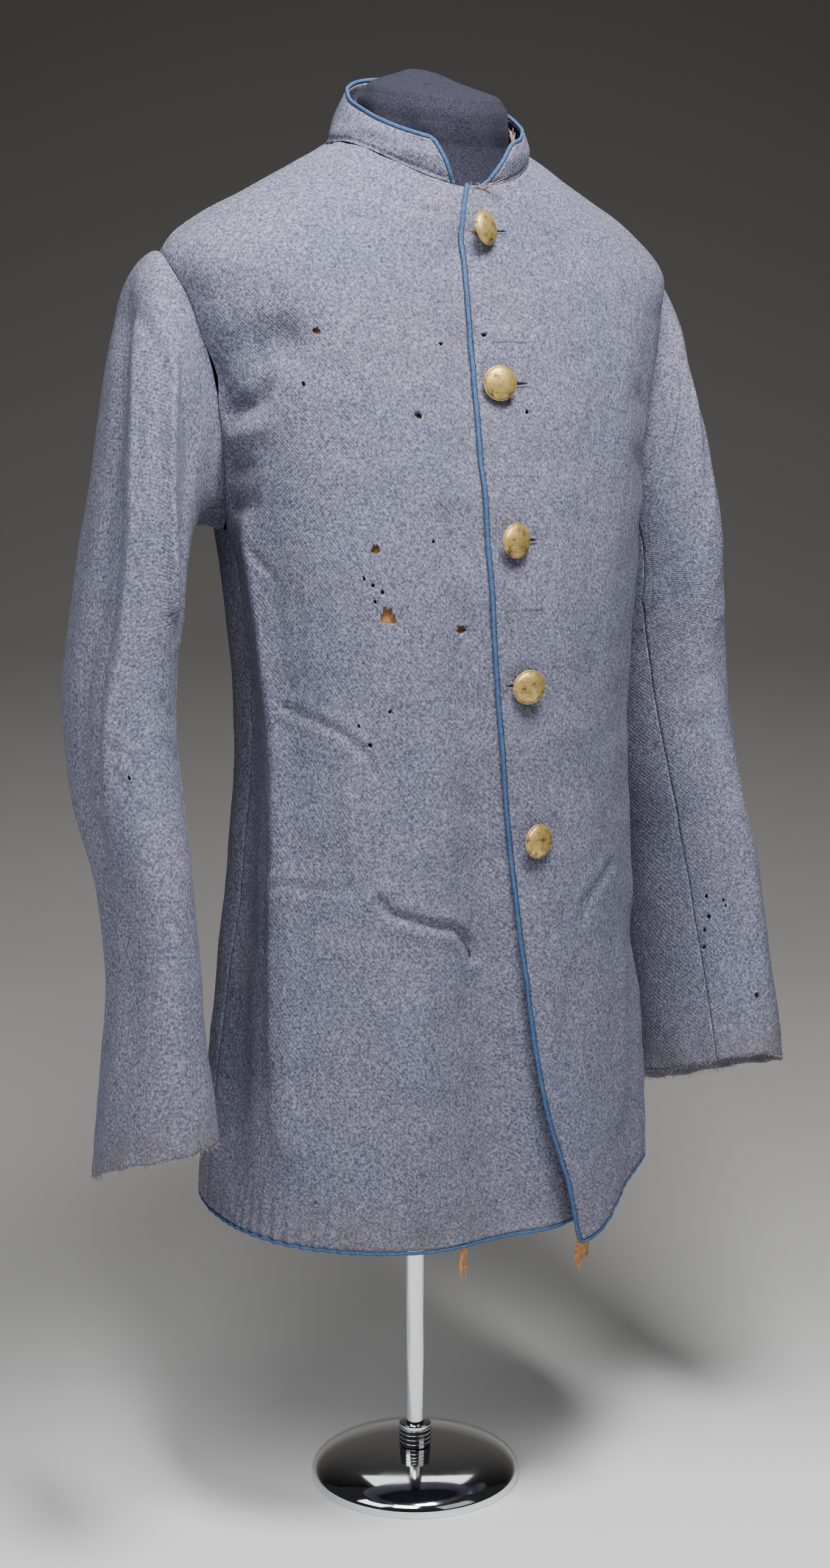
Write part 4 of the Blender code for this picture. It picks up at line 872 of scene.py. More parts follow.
def add_lathe(name, profile, sides, material, replaces=(), turned=None):
    """A profile of radius and height carried round Z, closed at both ends on the axis."""
    angle = np.linspace(0, 2 * math.pi, sides, endpoint=False)
    radius, height = np.array(profile).T
    rings = np.stack([
        radius[:, None] * np.cos(angle),
        radius[:, None] * np.sin(angle),
        np.broadcast_to(height[:, None], (len(height), sides)),
    ], axis=-1)
    rows = np.arange(len(height) - 1)[:, None] * sides
    here = np.arange(sides)
    after = (here + 1) % sides
    quads = np.stack([rows + here, rows + after, rows + sides + after, rows + sides + here], axis=-1)
    points = rings.reshape(-1, 3)
    if turned is not None:
        points = points @ turned[:3, :3].T + turned[:3, 3]
    return close_up(add_piece(name, points, quads.reshape(-1, 4), material, replaces))


def close_up(obj):
    """Merges the doubled points at a piece's seams and poles, and turns its faces outwards."""
    build = bmesh.new()
    build.from_mesh(obj.data)
    bmesh.ops.remove_doubles(build, verts=build.verts, dist=1e-6)
    bmesh.ops.recalc_face_normals(build, faces=build.faces)
    build.to_mesh(obj.data)
    build.free()
    obj.data.shade_smooth()
    return obj


def plug(cloth, turn, level, half_width, half_height, around, along, seed):
    """A plug through the cloth: an ellipse on it whose radius varies with four sine waves, as if torn."""
    draw = np.random.default_rng(seed)
    angle = np.linspace(0, 2 * math.pi, PLUG_POINTS, endpoint=False)
    radius = np.ones(PLUG_POINTS)
    for waves in (2, 3, 5, 7):
        radius += draw.uniform(-0.13, 0.13) * np.sin(waves * angle + draw.uniform(0, 6.3))
    turns = math.radians(turn) + radius * np.cos(angle) * half_width / around
    levels = level + radius * np.sin(angle) * half_height / along
    return np.stack([cloth(turns, levels, np.full(PLUG_POINTS, out)) for out in (PLUG_OUT, -PLUG_IN)])


def plugs_for(cloth, holes, size, seed):
    """A plug for each row of a table of holes, each drawn from the next seed."""
    return [plug(cloth, *row, *size, seed + number) for number, row in enumerate(holes)]


def cut_out(obj, plugs):
    """Cuts plugs through a piece. Each plug is two rings of points, its outer and its inner end."""
    points, faces = [], []
    for rings in plugs:
        start, count = sum(len(part) for part in points), rings.shape[1]
        here = start + np.arange(count)
        after = start + (np.arange(count) + 1) % count
        faces += np.stack([here, after, after + count, here + count], axis=-1).tolist()
        faces += [here[::-1].tolist(), (here + count).tolist()]
        points.append(rings.reshape(-1, 3))
    mesh = bpy.data.meshes.new("plugs")
    mesh.from_pydata(np.concatenate(points), [], faces)
    cutter = bpy.data.objects.new("plugs", mesh)
    bpy.context.scene.collection.objects.link(cutter)
    close_up(cutter)
    boolean = obj.modifiers.new("holes", "BOOLEAN")
    boolean.operation = "DIFFERENCE"
    boolean.solver = "EXACT"
    boolean.object = cutter
    graph = bpy.context.evaluated_depsgraph_get()
    result = obj.evaluated_get(graph)
    cut = bpy.data.meshes.new_from_object(result, preserve_all_data_layers=True, depsgraph=graph)
    obj.modifiers.clear()
    obj.data = cut
    bpy.data.objects.remove(cutter, do_unlink=True)
    return obj


# Materials

def new_material(name, colour, roughness, metallic=0.0):
    """A Principled material with plain values: the material, its node tree, shader and coordinates."""
    material = bpy.data.materials.new(name)
    material.use_nodes = True
    shader = material.node_tree.nodes["Principled BSDF"]
    shader.inputs["Base Color"].default_value = (*colour, 1.0)
    shader.inputs["Roughness"].default_value = roughness
    shader.inputs["Metallic"].default_value = metallic
    place = material.node_tree.nodes.new("ShaderNodeTexCoord")
    return material, material.node_tree, shader, place.outputs


def add_noise(tree, place, scale, detail=2.0, roughness=0.5):
    """A noise texture's value, read at a place."""
    noise = tree.nodes.new("ShaderNodeTexNoise")
    noise.inputs["Scale"].default_value = scale
    noise.inputs["Detail"].default_value = detail
    noise.inputs["Roughness"].default_value = roughness
    tree.links.new(place, noise.inputs["Vector"])
    return noise.outputs["Fac"]


def add_ramp(tree, value, *stops):
    """A colour ramp through stops, each a position and a colour."""
    ramp = tree.nodes.new("ShaderNodeValToRGB")
    while len(ramp.color_ramp.elements) < len(stops):
        ramp.color_ramp.elements.new(0.5)
    for element, (position, colour) in zip(ramp.color_ramp.elements, stops):
        element.position = position
        element.color = (*colour, 1.0)
    tree.links.new(value, ramp.inputs["Fac"])
    return ramp.outputs["Color"]


def feed(tree, socket, source):
    """Links a socket to another one, or gives it a plain value."""
    if isinstance(source, bpy.types.NodeSocket):
        tree.links.new(source, socket)
    else:
        socket.default_value = source


def add_mix(tree, kind, share, first, second):
    """One colour mixed over another by a share, which is a value or a number."""
    mix = tree.nodes.new("ShaderNodeMix")
    mix.data_type = "RGBA"
    mix.blend_type = kind
    feed(tree, mix.inputs["Factor"], share)
    feed(tree, mix.inputs["A"], first)
    feed(tree, mix.inputs["B"], second)
    return mix.outputs["Result"]


def add_maths(tree, operation, first, second):
    """Two values, or a value and a number, brought together by one operation."""
    sums = tree.nodes.new("ShaderNodeMath")
    sums.operation = operation
    feed(tree, sums.inputs[0], first)
    feed(tree, sums.inputs[1], second)
    return sums.outputs["Value"]


def add_bump(tree, shader, height, strength, distance):
    """A bump on the shader's normal from a height."""
    bump = tree.nodes.new("ShaderNodeBump")
    bump.inputs["Strength"].default_value = strength
    bump.inputs["Distance"].default_value = distance
    tree.links.new(height, bump.inputs["Height"])
    tree.links.new(bump.outputs["Normal"], shader.inputs["Normal"])


def wool_material():
    """Fulled wool: light and dark fibres over a faint twill, worn brown where the wear mark says so."""
    material, tree, shader, place = new_material("heathered_wool", (0.20, 0.22, 0.28), 0.95)
    shader.inputs["Specular IOR Level"].default_value = 0.04
    shader.inputs["Sheen Weight"].default_value = 0.022
    shader.inputs["Sheen Roughness"].default_value = 0.6
    fibres = add_noise(tree, place["Object"], 560.0, 3.0, 0.75)
    clumps = add_noise(tree, place["Object"], 150.0, 3.0, 0.6)
    patches = add_noise(tree, place["Object"], 17.0, 3.0, 0.55)
    colour = add_ramp(tree, fibres, (0.32, (0.056, 0.058, 0.092)), (0.50, (0.165, 0.168, 0.229)),
                      (0.68, (0.350, 0.345, 0.425)))
    shade = add_ramp(tree, clumps, (0.30, (0.84, 0.84, 0.86)), (0.70, (1.0, 1.0, 1.0)))
    colour = add_mix(tree, "MULTIPLY", 1.0, colour, shade)
    cast = add_ramp(tree, patches, (0.32, (0.88, 0.90, 0.96)), (0.68, (1.0, 0.985, 0.97)))
    colour = add_mix(tree, "MULTIPLY", 1.0, colour, cast)
    wear = tree.nodes.new("ShaderNodeAttribute")
    wear.attribute_name = "wear"
    rubbed = add_noise(tree, place["Object"], 95.0, 4.0, 0.65)
    share = add_maths(tree, "MULTIPLY", wear.outputs["Fac"], rubbed)
    share = add_maths(tree, "MULTIPLY", share, 0.8)
    colour = add_mix(tree, "MIX", share, colour, (0.15, 0.13, 0.115, 1.0))
    tree.links.new(colour, shader.inputs["Base Color"])
    twill = tree.nodes.new("ShaderNodeTexWave")
    twill.bands_direction = "DIAGONAL"
    twill.inputs["Scale"].default_value = 190.0
    twill.inputs["Distortion"].default_value = 2.5
    tree.links.new(place["UV"], twill.inputs["Vector"])
    nap = add_maths(tree, "MULTIPLY", twill.outputs["Fac"], 0.35)
    nap = add_maths(tree, "ADD", nap, fibres)
    add_bump(tree, shader, nap, 0.55, 0.0006)
    return material


def cord_material():
    """Blue piping, with paler and darker fibres and some of its colour rubbed off."""
    material, tree, shader, place = new_material("blue_piping", (0.06, 0.15, 0.36), 0.85)
    fibres = add_noise(tree, place["Object"], 700.0, 3.0, 0.7)
    faded = add_noise(tree, place["Object"], 60.0, 3.0, 0.6)
    colour = add_ramp(tree, fibres, (0.30, (0.012, 0.034, 0.100)), (0.72, (0.058, 0.145, 0.330)))
    share = add_ramp(tree, faded, (0.50, (0.0, 0.0, 0.0)), (0.75, (0.6, 0.6, 0.6)))
    colour = add_mix(tree, "MIX", share, colour, (0.08, 0.11, 0.18, 1.0))
    tree.links.new(colour, shader.inputs["Base Color"])
    add_bump(tree, shader, fibres, 0.5, 0.0005)
    return material


def brass_material():
    """Gilt brass, worn to darker brown in patches and dulled with small dents."""
    material, tree, shader, place = new_material("worn_gilt_brass", (0.62, 0.44, 0.15), 0.4, 0.72)
    tarnish = add_noise(tree, place["Object"], 260.0, 4.0, 0.65)
    dents = add_noise(tree, place["Object"], 420.0, 2.0, 0.5)
    colour = add_ramp(tree, tarnish, (0.30, (0.09, 0.055, 0.018)), (0.46, (0.48, 0.33, 0.10)),
                      (0.68, (0.78, 0.58, 0.22)))
    tree.links.new(colour, shader.inputs["Base Color"])
    rough = add_ramp(tree, tarnish, (0.35, (0.62, 0.62, 0.62)), (0.65, (0.36, 0.36, 0.36)))
    tree.links.new(rough, shader.inputs["Roughness"])
    add_bump(tree, shader, dents, 0.35, 0.0006)
    return material


def lining_material():
    """Coarse orange-brown lining, with its threads showing."""
    material, tree, shader, place = new_material("rust_lining", (0.50, 0.23, 0.08), 0.9)
    slubs = add_noise(tree, place["Object"], 480.0, 4.0, 0.7)
    colour = add_ramp(tree, slubs, (0.32, (0.26, 0.10, 0.030)), (0.68, (0.72, 0.36, 0.13)))
    tree.links.new(colour, shader.inputs["Base Color"])
    add_bump(tree, shader, slubs, 0.6, 0.0005)
    return material


def form_material():
    """Dark cloth over the form, with a fine plain weave."""
    material, tree, shader, place = new_material("dark_form_cloth", (0.016, 0.018, 0.028), 0.9)
    shader.inputs["Sheen Weight"].default_value = 0.018
    shader.inputs["Specular IOR Level"].default_value = 0.05
    threads = add_noise(tree, place["Object"], 900.0, 2.0, 0.6)
    colour = add_ramp(tree, threads, (0.30, (0.012, 0.012, 0.020)), (0.70, (0.042, 0.042, 0.062)))
    tree.links.new(colour, shader.inputs["Base Color"])
    add_bump(tree, shader, threads, 0.3, 0.0003)
    return material


def chrome_material():
    """Polished chrome, with a faint haze of fine marks."""
    material, tree, shader, place = new_material("polished_chrome", (0.78, 0.79, 0.81), 0.07, 1.0)
    haze = add_noise(tree, place["Object"], 40.0, 4.0, 0.6)
    rough = add_ramp(tree, haze, (0.35, (0.05, 0.05, 0.05)), (0.70, (0.13, 0.13, 0.13)))
    tree.links.new(rough, shader.inputs["Roughness"])
    return material


def thread_material(name, dark, light):
    """Sewing thread, mixed from a darker and a lighter colour."""
    material, tree, shader, place = new_material(name, light, 0.85)
    twist = add_noise(tree, place["Object"], 500.0, 2.0, 0.6)
    tree.links.new(add_ramp(tree, twist, (0.35, dark), (0.65, light)), shader.inputs["Base Color"])
    return material


wool = wool_material()
piping_blue = cord_material()
brass = brass_material()
rust_lining = lining_material()
form_cloth = form_material()
chrome = chrome_material()
grey_thread = thread_material("grey_thread", (0.075, 0.080, 0.105), (0.235, 0.245, 0.290))
pale_thread = thread_material("pale_thread", (0.20, 0.175, 0.140), (0.47, 0.42, 0.36))
rose_thread = thread_material("faded_rose_thread", (0.20, 0.125, 0.110), (0.44, 0.32, 0.30))


# The coat

def body_levels(lower, middle, upper):
    """Levels up a panel, closer together where the armhole turns in."""
    bottom, top = ARMHOLE_LEVEL - ARMHOLE_RISE, ARMHOLE_LEVEL + ARMHOLE_RISE
    through = ARMHOLE_LEVEL - ARMHOLE_RISE * np.cos(np.linspace(0, math.pi, middle + 1))
    below, above = np.linspace(0, bottom, lower + 1), np.linspace(top, 1, upper + 1)
    return np.concatenate([below, through[1:], above[1:]])


def panel_grid(first, last, levels, columns):
    """Turns and levels of a panel's points, evenly between its two edges in each row."""
    part = np.linspace(0, 1, columns + 1)
    turn = first[:, None] + (last - first)[:, None] * part
    return turn, np.broadcast_to(levels[:, None], turn.shape)


def cloth_uv(turn, level, around, along):
    """A UV map in metres on the cloth."""
    return np.stack([turn * around, level * along], axis=-1)


def body_wear(turn, level):
    """How worn the body's cloth is: most at the hem on the wearer's right, and a little elsewhere."""
    blotches = 0.5 + 0.5 * ripple(turn, level, BODY_RADIUS, BODY_RUN, 0.034, 11)
    hem = np.exp(-(level / 0.045) ** 2) * (0.35 + 0.65 * np.exp(-((turn + 0.75) / 0.55) ** 2))
    closing = 0.22 * np.exp(-((turn + 0.10) / 0.16) ** 2)
    return np.clip((hem * 0.85 + closing + 0.05) * (0.35 + 0.9 * blotches), 0, 1)


def sleeve_wear(turn, level):
    """How worn a sleeve is: brownish over the last few centimetres to the cuff."""
    blotches = 0.5 + 0.5 * ripple(turn, level, SLEEVE_RADIUS, SLEEVE_RUN, 0.030, 12)
    return np.clip((0.95 * np.exp(-((1 - level) / 0.045) ** 2) + 0.05) * (0.3 + blotches), 0, 1)


def add_cloth(name, cloth, turn, level, size, node, wear, rounding):
    """A wool piece that stands for a node: a wall of cloth inwards from a surface, over a grid."""
    zero = np.zeros(turn.shape)
    return add_shell(name, cloth(turn, level, zero), cloth(turn, level, zero - CLOTH),
                     cloth_uv(turn, level, *size), wool, [node], {"wear": wear}, rounding)


def add_body():
    """Two fronts and the back, each a shell on the body's surface, with the fronts' holes cut through."""
    levels = body_levels(190, 90, 40)
    half_gap = GAP / 2 / BODY_RADIUS
    front_side = SIDE_SEAM - armhole_bite(levels, ARMHOLE_FRONT) - half_gap
    back_side = SIDE_SEAM + armhole_bite(levels, ARMHOLE_BACK) + half_gap
    edges = turn_at(read_table(FRONT_EDGES, levels), levels[:, None])
    # columns: node, first turn, last turn, columns, surface, rounding of the first column's edge
    plans = (
        ("left_front", edges[:, 0], front_side, 112, left_cloth, CUT_EDGE),
        ("right_front", edges[:, 1], -front_side, 148, body_cloth, CUT_EDGE),
        ("back", back_side, 2 * math.pi - back_side, 96, body_cloth, SEWN_EDGE),
    )
    made = []
    for node, first, last, columns, cloth, edge in plans:
        turn, level = panel_grid(first, last, levels, columns)
        made.append(add_cloth(f"{node}_cloth", cloth, turn, level, BODY_SIZE, node, body_wear(turn, level),
                              (CUT_EDGE, SEWN_EDGE, SEWN_EDGE, edge)))
    cut_out(made[0], plugs_for(left_cloth, LEFT_FRONT_HOLES, BODY_SIZE, 40) + open_buttonholes())
    cut_out(made[1], plugs_for(body_cloth, RIGHT_FRONT_HOLES, BODY_SIZE, 60))
    return made


def buttonhole_ends():
    """The turn of both ends of each open buttonhole, and its level and half height."""
    level = BUTTONS[:, 0]
    ends = np.stack([BUTTONS[:, 1] - OPEN_BUTTONHOLES[:, 0], BUTTONS[:, 1] + OPEN_BUTTONHOLES[:, 1]], axis=-1)
    return turn_at(ends, level[:, None]), level, OPEN_BUTTONHOLES[:, 2]


def open_buttonholes():
    """A plug for each open buttonhole: a long lens, a little bowed, wider by its button."""
    plugs = []
    angle = np.linspace(0, 2 * math.pi, BUTTONHOLE_POINTS, endpoint=False)
    depths = (PLUG_OUT, -CLOTH - 0.0004)
    for (start, end), level, half_height in zip(*buttonhole_ends()):
        turns = (start + end) / 2 + (end - start) / 2 * np.cos(angle)
        levels = level + np.sin(angle) * half_height / BODY_RUN * (1 - 0.25 * np.cos(angle))
        plugs.append(np.stack([left_cloth(turns, levels, np.full(turns.shape, out)) for out in depths]))
    return plugs


def left_seam_turn(level):
    """Where the left sleeve's front seam runs, as a turn at each level."""
    return np.radians(np.interp(level, LEFT_SLEEVE_SEAM[:, 0], LEFT_SLEEVE_SEAM[:, 1]))


def add_sleeves():
    """Two sleeves, each an upper and an under piece, with the moth holes cut through."""
    made = {}
    levels = np.linspace(0, 1, 221) ** 1.1
    half_gap = GAP / 2 / SLEEVE_RADIUS
    back_seam = np.full(levels.shape, BACK_SLEEVE_SEAM)
    for side, hand, holes in ((1, "left", LEFT_SLEEVE_HOLES), (-1, "right", RIGHT_SLEEVE_HOLES)):
        cloth = partial(sleeve_cloth, side)
        front_seam = left_seam_turn(levels) if side > 0 else np.full(levels.shape, FRONT_SLEEVE_SEAM)
        plans = (("upper", back_seam + half_gap, front_seam + 2 * math.pi - half_gap, 122),
                 ("under", front_seam + half_gap, back_seam - half_gap, 54))
        for piece, first, last, columns in plans:
            turn, level = panel_grid(first, last, levels, columns)
            node = f"{hand}_sleeve_{piece}"
            made[f"{hand}_{piece}"] = add_cloth(
                f"{node}_cloth", cloth, turn, level, SLEEVE_SIZE, node, sleeve_wear(turn, level),
                (SEWN_EDGE, SEWN_EDGE, CUT_EDGE, SEWN_EDGE))
        cut_out(made[f"{hand}_upper"], plugs_for(cloth, holes, SLEEVE_SIZE, 80))
    return made


def collar_wall(turn, height, out):
    """A point of the collar's cloth, moved out by some metres, with its slight waves."""
    away = np.stack([np.sin(turn), -np.cos(turn), np.zeros(turn.shape)], axis=-1)
    waves = COLLAR_WAVE * ripple(turn, height, *COLLAR_SIZE, 0.030, 21)
    roll = COLLAR_ROLL * np.exp(-((height - 0.10) / 0.07) ** 2)
    return collar_point(turn, height) + away * (out + waves - roll)[..., None]


def add_collar():
    """The stand collar, a thicker shell, worn at its top edge and at the left end's tip."""
    turn, height = collar_grid(200, 28)
    zero = np.zeros(turn.shape)
    part = np.broadcast_to(np.linspace(0, 1, turn.shape[1]), turn.shape)
    wear = 0.9 * np.exp(-(part / 0.05) ** 2) * height ** 2 + 0.18 * height ** 6 + 0.03
    lift = np.array([0, 0, GAP * 0.6])
    return add_shell("collar_cloth", collar_wall(turn, height, zero) + lift,
                     collar_wall(turn, height, zero - COLLAR_CLOTH) + lift,
                     cloth_uv(turn, height, *COLLAR_SIZE), wool, ["collar"], {"wear": wear},
                     (0.05, CUT_EDGE, CUT_EDGE, CUT_EDGE))


def add_lining():
    """The lining behind the right front's holes, and its two torn ends below the hem."""
    turns, levels = np.radians(np.linspace(*LINING_SHEET[:2], 60)), np.linspace(*LINING_SHEET[2:], 90)
    turn, level = np.meshgrid(turns, levels)
    back = np.full(turn.shape, -CLOTH - LINING_BEHIND)
    outer, inner = body_cloth(turn, level, back), body_cloth(turn, level, back - LINING)
    uv = cloth_uv(turn, level, *BODY_SIZE)
    made = [add_shell("lining_behind_holes", outer, inner, uv, rust_lining, ["lining_patch"])]
    tucked = 0.017
    for number, (middle, half_width, length) in enumerate(TATTERS, start=1):
        side, fall = np.meshgrid(np.linspace(-1, 1, 13), np.linspace(0, 1, 44))
        below = np.maximum(fall * (length + tucked) - tucked, 0)
        level = np.maximum(tucked - fall * (length + tucked), 0) / BODY_RUN
        torn = 1 - 0.12 * fall + 0.10 * np.sin(side * 2 + fall * 15 + number) * fall
        turn = math.radians(middle) + side * half_width * torn / BODY_RADIUS
        ragged = 0.007 * fall ** 4 * np.sin(side * 4.6 + 1.4 + number)
        curl = -CLOTH - LINING_BEHIND - 0.0010 + 0.0022 * np.sin(fall * 4.2 + side * 1.3) * (below > 0)
        hang = np.stack([0 * below, 0 * below, below + ragged], axis=-1)
        outer, inner = body_cloth(turn, level, curl) - hang, body_cloth(turn, level, curl - LINING) - hang
        made.append(add_shell(f"lining_end_{number}", outer, inner, cloth_uv(turn, fall, BODY_RADIUS, length),
                              rust_lining, [f"lining_tatter_{number}"]))
    return made


def piping_section(angle):
    """Round, with a sewn groove along its outer side."""
    apart = np.abs((angle + math.pi) % (2 * math.pi) - math.pi)
    return 1 - 0.32 * np.exp(-(apart / 0.35) ** 2)


def beside(edge, within, distance):
    """The points of an edge, moved square to it and away from the next points within the cloth."""
    along = unit(np.gradient(edge, axis=0))
    away = edge - within
    away = away - along * (away * along).sum(axis=-1, keepdims=True)
    return edge + unit(away) * distance


def add_piping_cord(node, path, upwards, girth=1):
    """A run of piping that stands for a node, with its girth as a share of the usual one."""
    return add_tube(f"{node}_cord", path, upwards, PIPING * girth, PIPING_SIDES, piping_blue, [node],
                    piping_section)


def add_piping():
    """Blue piping along the collar, the left front's edge and the hem."""
    clear = PIPING + GAP
    down = np.array([0, 0, -clear])
    made = []
    turn, height = collar_grid(160, 20)
    out = np.stack([np.sin(turn), -np.cos(turn), np.zeros(turn.shape)], axis=-1)
    middle = collar_wall(turn, height, np.full(turn.shape, -COLLAR_CLOTH / 2))
    left_end = beside(middle[:, 0], middle[:, 1], clear)
    right_end = beside(middle[:, -1], middle[:, -2], clear)
    path = np.concatenate([left_end[:-1], middle[-1, 1:-1] - down, right_end[-2::-1]])
    facing = np.concatenate([out[:-1, 0], out[-1, 1:-1], out[-2::-1, -1]])
    made.append(add_piping_cord("collar_piping", path, facing))

    levels = np.linspace(0, 1, 300)
    turn = turn_at(read_table(FRONT_EDGES, levels)[:, 0], levels)
    edge = left_cloth(turn, levels, np.full(levels.shape, -CLOTH / 2))
    within = left_cloth(turn + 0.01, levels, np.full(levels.shape, -CLOTH / 2))
    out = body_normal(turn, levels)
    made.append(add_piping_cord("left_front_piping", beside(edge, within, clear), out, 1.08))

    left_edge, right_edge = turn_at(FRONT_EDGES[0, 1:3], np.zeros(2))
    seam = GAP / 2 / BODY_RADIUS
    runs = (
        ("left_hem_piping", left_edge, SIDE_SEAM - seam, left_cloth),
        ("back_hem_piping", SIDE_SEAM + seam, 2 * math.pi - SIDE_SEAM - seam, body_cloth),
        ("right_hem_piping", right_edge, seam - SIDE_SEAM, body_cloth),
    )
    for name, first, last, cloth in runs:
        turn = np.linspace(first, last, 180)
        bottom = np.zeros(turn.shape)
        path = cloth(turn, bottom, bottom - CLOTH / 2) + down
        made.append(add_piping_cord(name, path, body_normal(turn, bottom)))
    return made


def along_path(path, count):
    """Places evenly along a path of turns in degrees and levels, as turns in radians and levels."""
    steps = np.linspace(0, 1, len(path))
    place = read_table(np.column_stack([steps, path]), np.linspace(0, 1, count))
    return np.radians(place[:, 0]), place[:, 1]


def stitch_threads(cloth, path, count, length, lift, slant=None):
    """Stitches as arched threads (threads, points, XYZ), end to end along a path.

    With a slant they lie side by side across it instead, leaning ahead by that share.
    """
    turn, level = along_path(path, count)
    heading = unit(np.stack([np.gradient(turn) * BODY_RADIUS, np.gradient(level) * BODY_RUN], axis=-1))
    if slant is not None:
        heading = unit(np.stack([-heading[:, 1], heading[:, 0]], axis=-1) + slant * heading)
    run = np.linspace(-0.5, 0.5, 7)
    turns = turn[:, None] + heading[:, :1] * run * length / BODY_RADIUS
    levels = level[:, None] + heading[:, 1:] * run * length / BODY_RUN
    return cloth(turns, levels, lift * (1 - (2 * run) ** 4) - STITCH_SUNK + 0 * turns)


def add_sewing():
    """Stitches along the pockets and darns, over the shut buttonholes and round the open ones."""
    top = stitch_threads(body_cloth, RIGHT_POCKET_TOP, 52, 0.0017, 0.0004)
    low = stitch_threads(body_cloth, RIGHT_POCKET_LOW, 46, 0.0019, 0.0004)
    darn = stitch_threads(body_cloth, RIGHT_DARN, 44, 0.0026, 0.0004, 0.9)
    made = [add_threads("right_pocket_stitches", np.concatenate([top, low, darn]), [-0.5, -0.85, 0.0],
                        0.00032, grey_thread)]
    left = [stitch_threads(left_cloth, LEFT_POCKET, 34, 0.0018, 0.0004)]
    for start, end, level in SHUT_BUTTONHOLES:
        path = np.array([[start, level], [(start + end) / 2, level + 0.0006], [end, level]])
        left.append(stitch_threads(left_cloth, path, 17, 0.0028, 0.0005, 0.25))
    made.append(add_threads("left_front_stitches", np.concatenate(left), LEFT_FACING, 0.00044, grey_thread))
    reach = np.array([-0.0002, 0.0004, 0.0010, 0.0015, 0.0019])
    rise = np.array([0.0001, 0.0004, 0.0004, 0.0002, -0.0003])
    part = np.linspace(0.02, 0.98, 22)
    lips = []
    for (start, end), level, half_height in zip(*buttonhole_ends()):
        turn = start + (end - start) * part
        for way in (-1, 1):
            edge = level + way * half_height * np.sin(np.arccos(1 - 2 * part)) / BODY_RUN
            levels = edge[:, None] + way * reach / BODY_RUN
            lips.append(left_cloth(turn[:, None] + 0 * levels, levels, rise + 0 * levels))
    made.append(add_threads("buttonhole_stitches", np.concatenate(lips), LEFT_FACING, 0.00038, grey_thread))
    return made


def loose_ends(starts, directions, length, curl, steps, seed, fan=0.35):
    """Fine fibres from starting points, each leaning from its direction and curling to one side."""
    draw = np.random.default_rng(seed)
    run = np.linspace(0, 1, steps)[:, None]
    reach = length * draw.uniform(0.35, 1.0, (len(starts), 1, 1))
    lean = directions[:, None] + draw.normal(0, fan, (len(starts), 1, 3))
    bend = draw.normal(0, 1, (len(starts), 1, 3)) * curl
    return starts[:, None] + unit(lean) * reach * run + bend * reach * run ** 2


def add_frays():
    """Fibres at the two raw cuffs, at the collar's worn tip, at the throat and at the lining's torn ends."""
    made = []
    for side, hand in ((1, "left"), (-1, "right")):
        draw = np.random.default_rng(30 + side)
        turn = draw.uniform(0, 2 * math.pi, CUFF_FIBRES)
        depth = draw.uniform(-CLOTH, 0, CUFF_FIBRES)
        edge = sleeve_cloth(side, turn, np.ones(CUFF_FIBRES), depth)
        down = unit(edge - sleeve_cloth(side, turn, np.full(CUFF_FIBRES, 0.99), depth))
        fibres = loose_ends(edge - down * 0.001, down, 0.0036, 0.35, 5, 31)
        made.append(add_threads(f"{hand}_cuff_fray", fibres, [0.31, 0.2, 0.9], 0.00013, pale_thread, 3))
    turn = np.radians(COLLAR_LEFT_HIGH - np.linspace(0, 1.8, TIP_FIBRES))
    tip = collar_wall(turn, np.linspace(1.0, 0.96, TIP_FIBRES), np.full(TIP_FIBRES, -COLLAR_CLOTH / 2))
    up = np.broadcast_to([-0.15, -0.05, 1.0], tip.shape)
    fibres = loose_ends(tip, up, 0.0115, 0.08, 7, 33, 0.10)
    made.append(add_threads("collar_tip_fray", fibres, [0.4, -0.8, 0.1], 0.00034, rose_thread, 4))
    turn = np.radians(np.linspace(-6.0, 2.0, THROAT_FIBRES))
    throat = left_cloth(turn, np.full(THROAT_FIBRES, 0.992), np.full(THROAT_FIBRES, 0.0004))
    fibres = loose_ends(throat, np.broadcast_to([0.75, -0.3, 0.35], throat.shape), 0.013, 0.5, 9, 34)
    made.append(add_threads("throat_fray", fibres, [0.1, -0.3, 0.9], 0.00026, rose_thread, 4))
    left_ends = np.linspace(18.6, 23.4, LINING_FIBRES[0])
    right_ends = np.linspace(-10.9, -9.2, LINING_FIBRES[1])
    turn = np.radians(np.concatenate([left_ends, right_ends]))
    ends = body_cloth(turn, np.zeros(turn.shape), np.full(turn.shape, -CLOTH - LINING_BEHIND - 0.0016))
    ends[:, 2] -= np.repeat(TATTERS[:, 2] - 0.004, LINING_FIBRES)
    fibres = loose_ends(ends, np.broadcast_to([0.0, 0.0, -1.0], ends.shape), 0.0035, 0.3, 6, 35)
    made.append(add_threads("lining_fray", fibres, [0.3, -0.9, 0.0], 0.00018, rust_lining, 3))
    return made


def front_frame(across, level, lift):
    """A matrix whose origin is on the front, X across, Y up the cloth and Z outwards."""
    turn = turn_at(across, level)
    out = body_normal(turn, level)
    point = body_point(turn, level) + out * lift
    aside = unit(np.cross([0.0, 0.0, 1.0], out))
    up = np.cross(out, aside)
    matrix = np.eye(4)
    matrix[:3, :3] = np.stack([aside, up, out], axis=1)
    matrix[:3, 3] = point
    return matrix


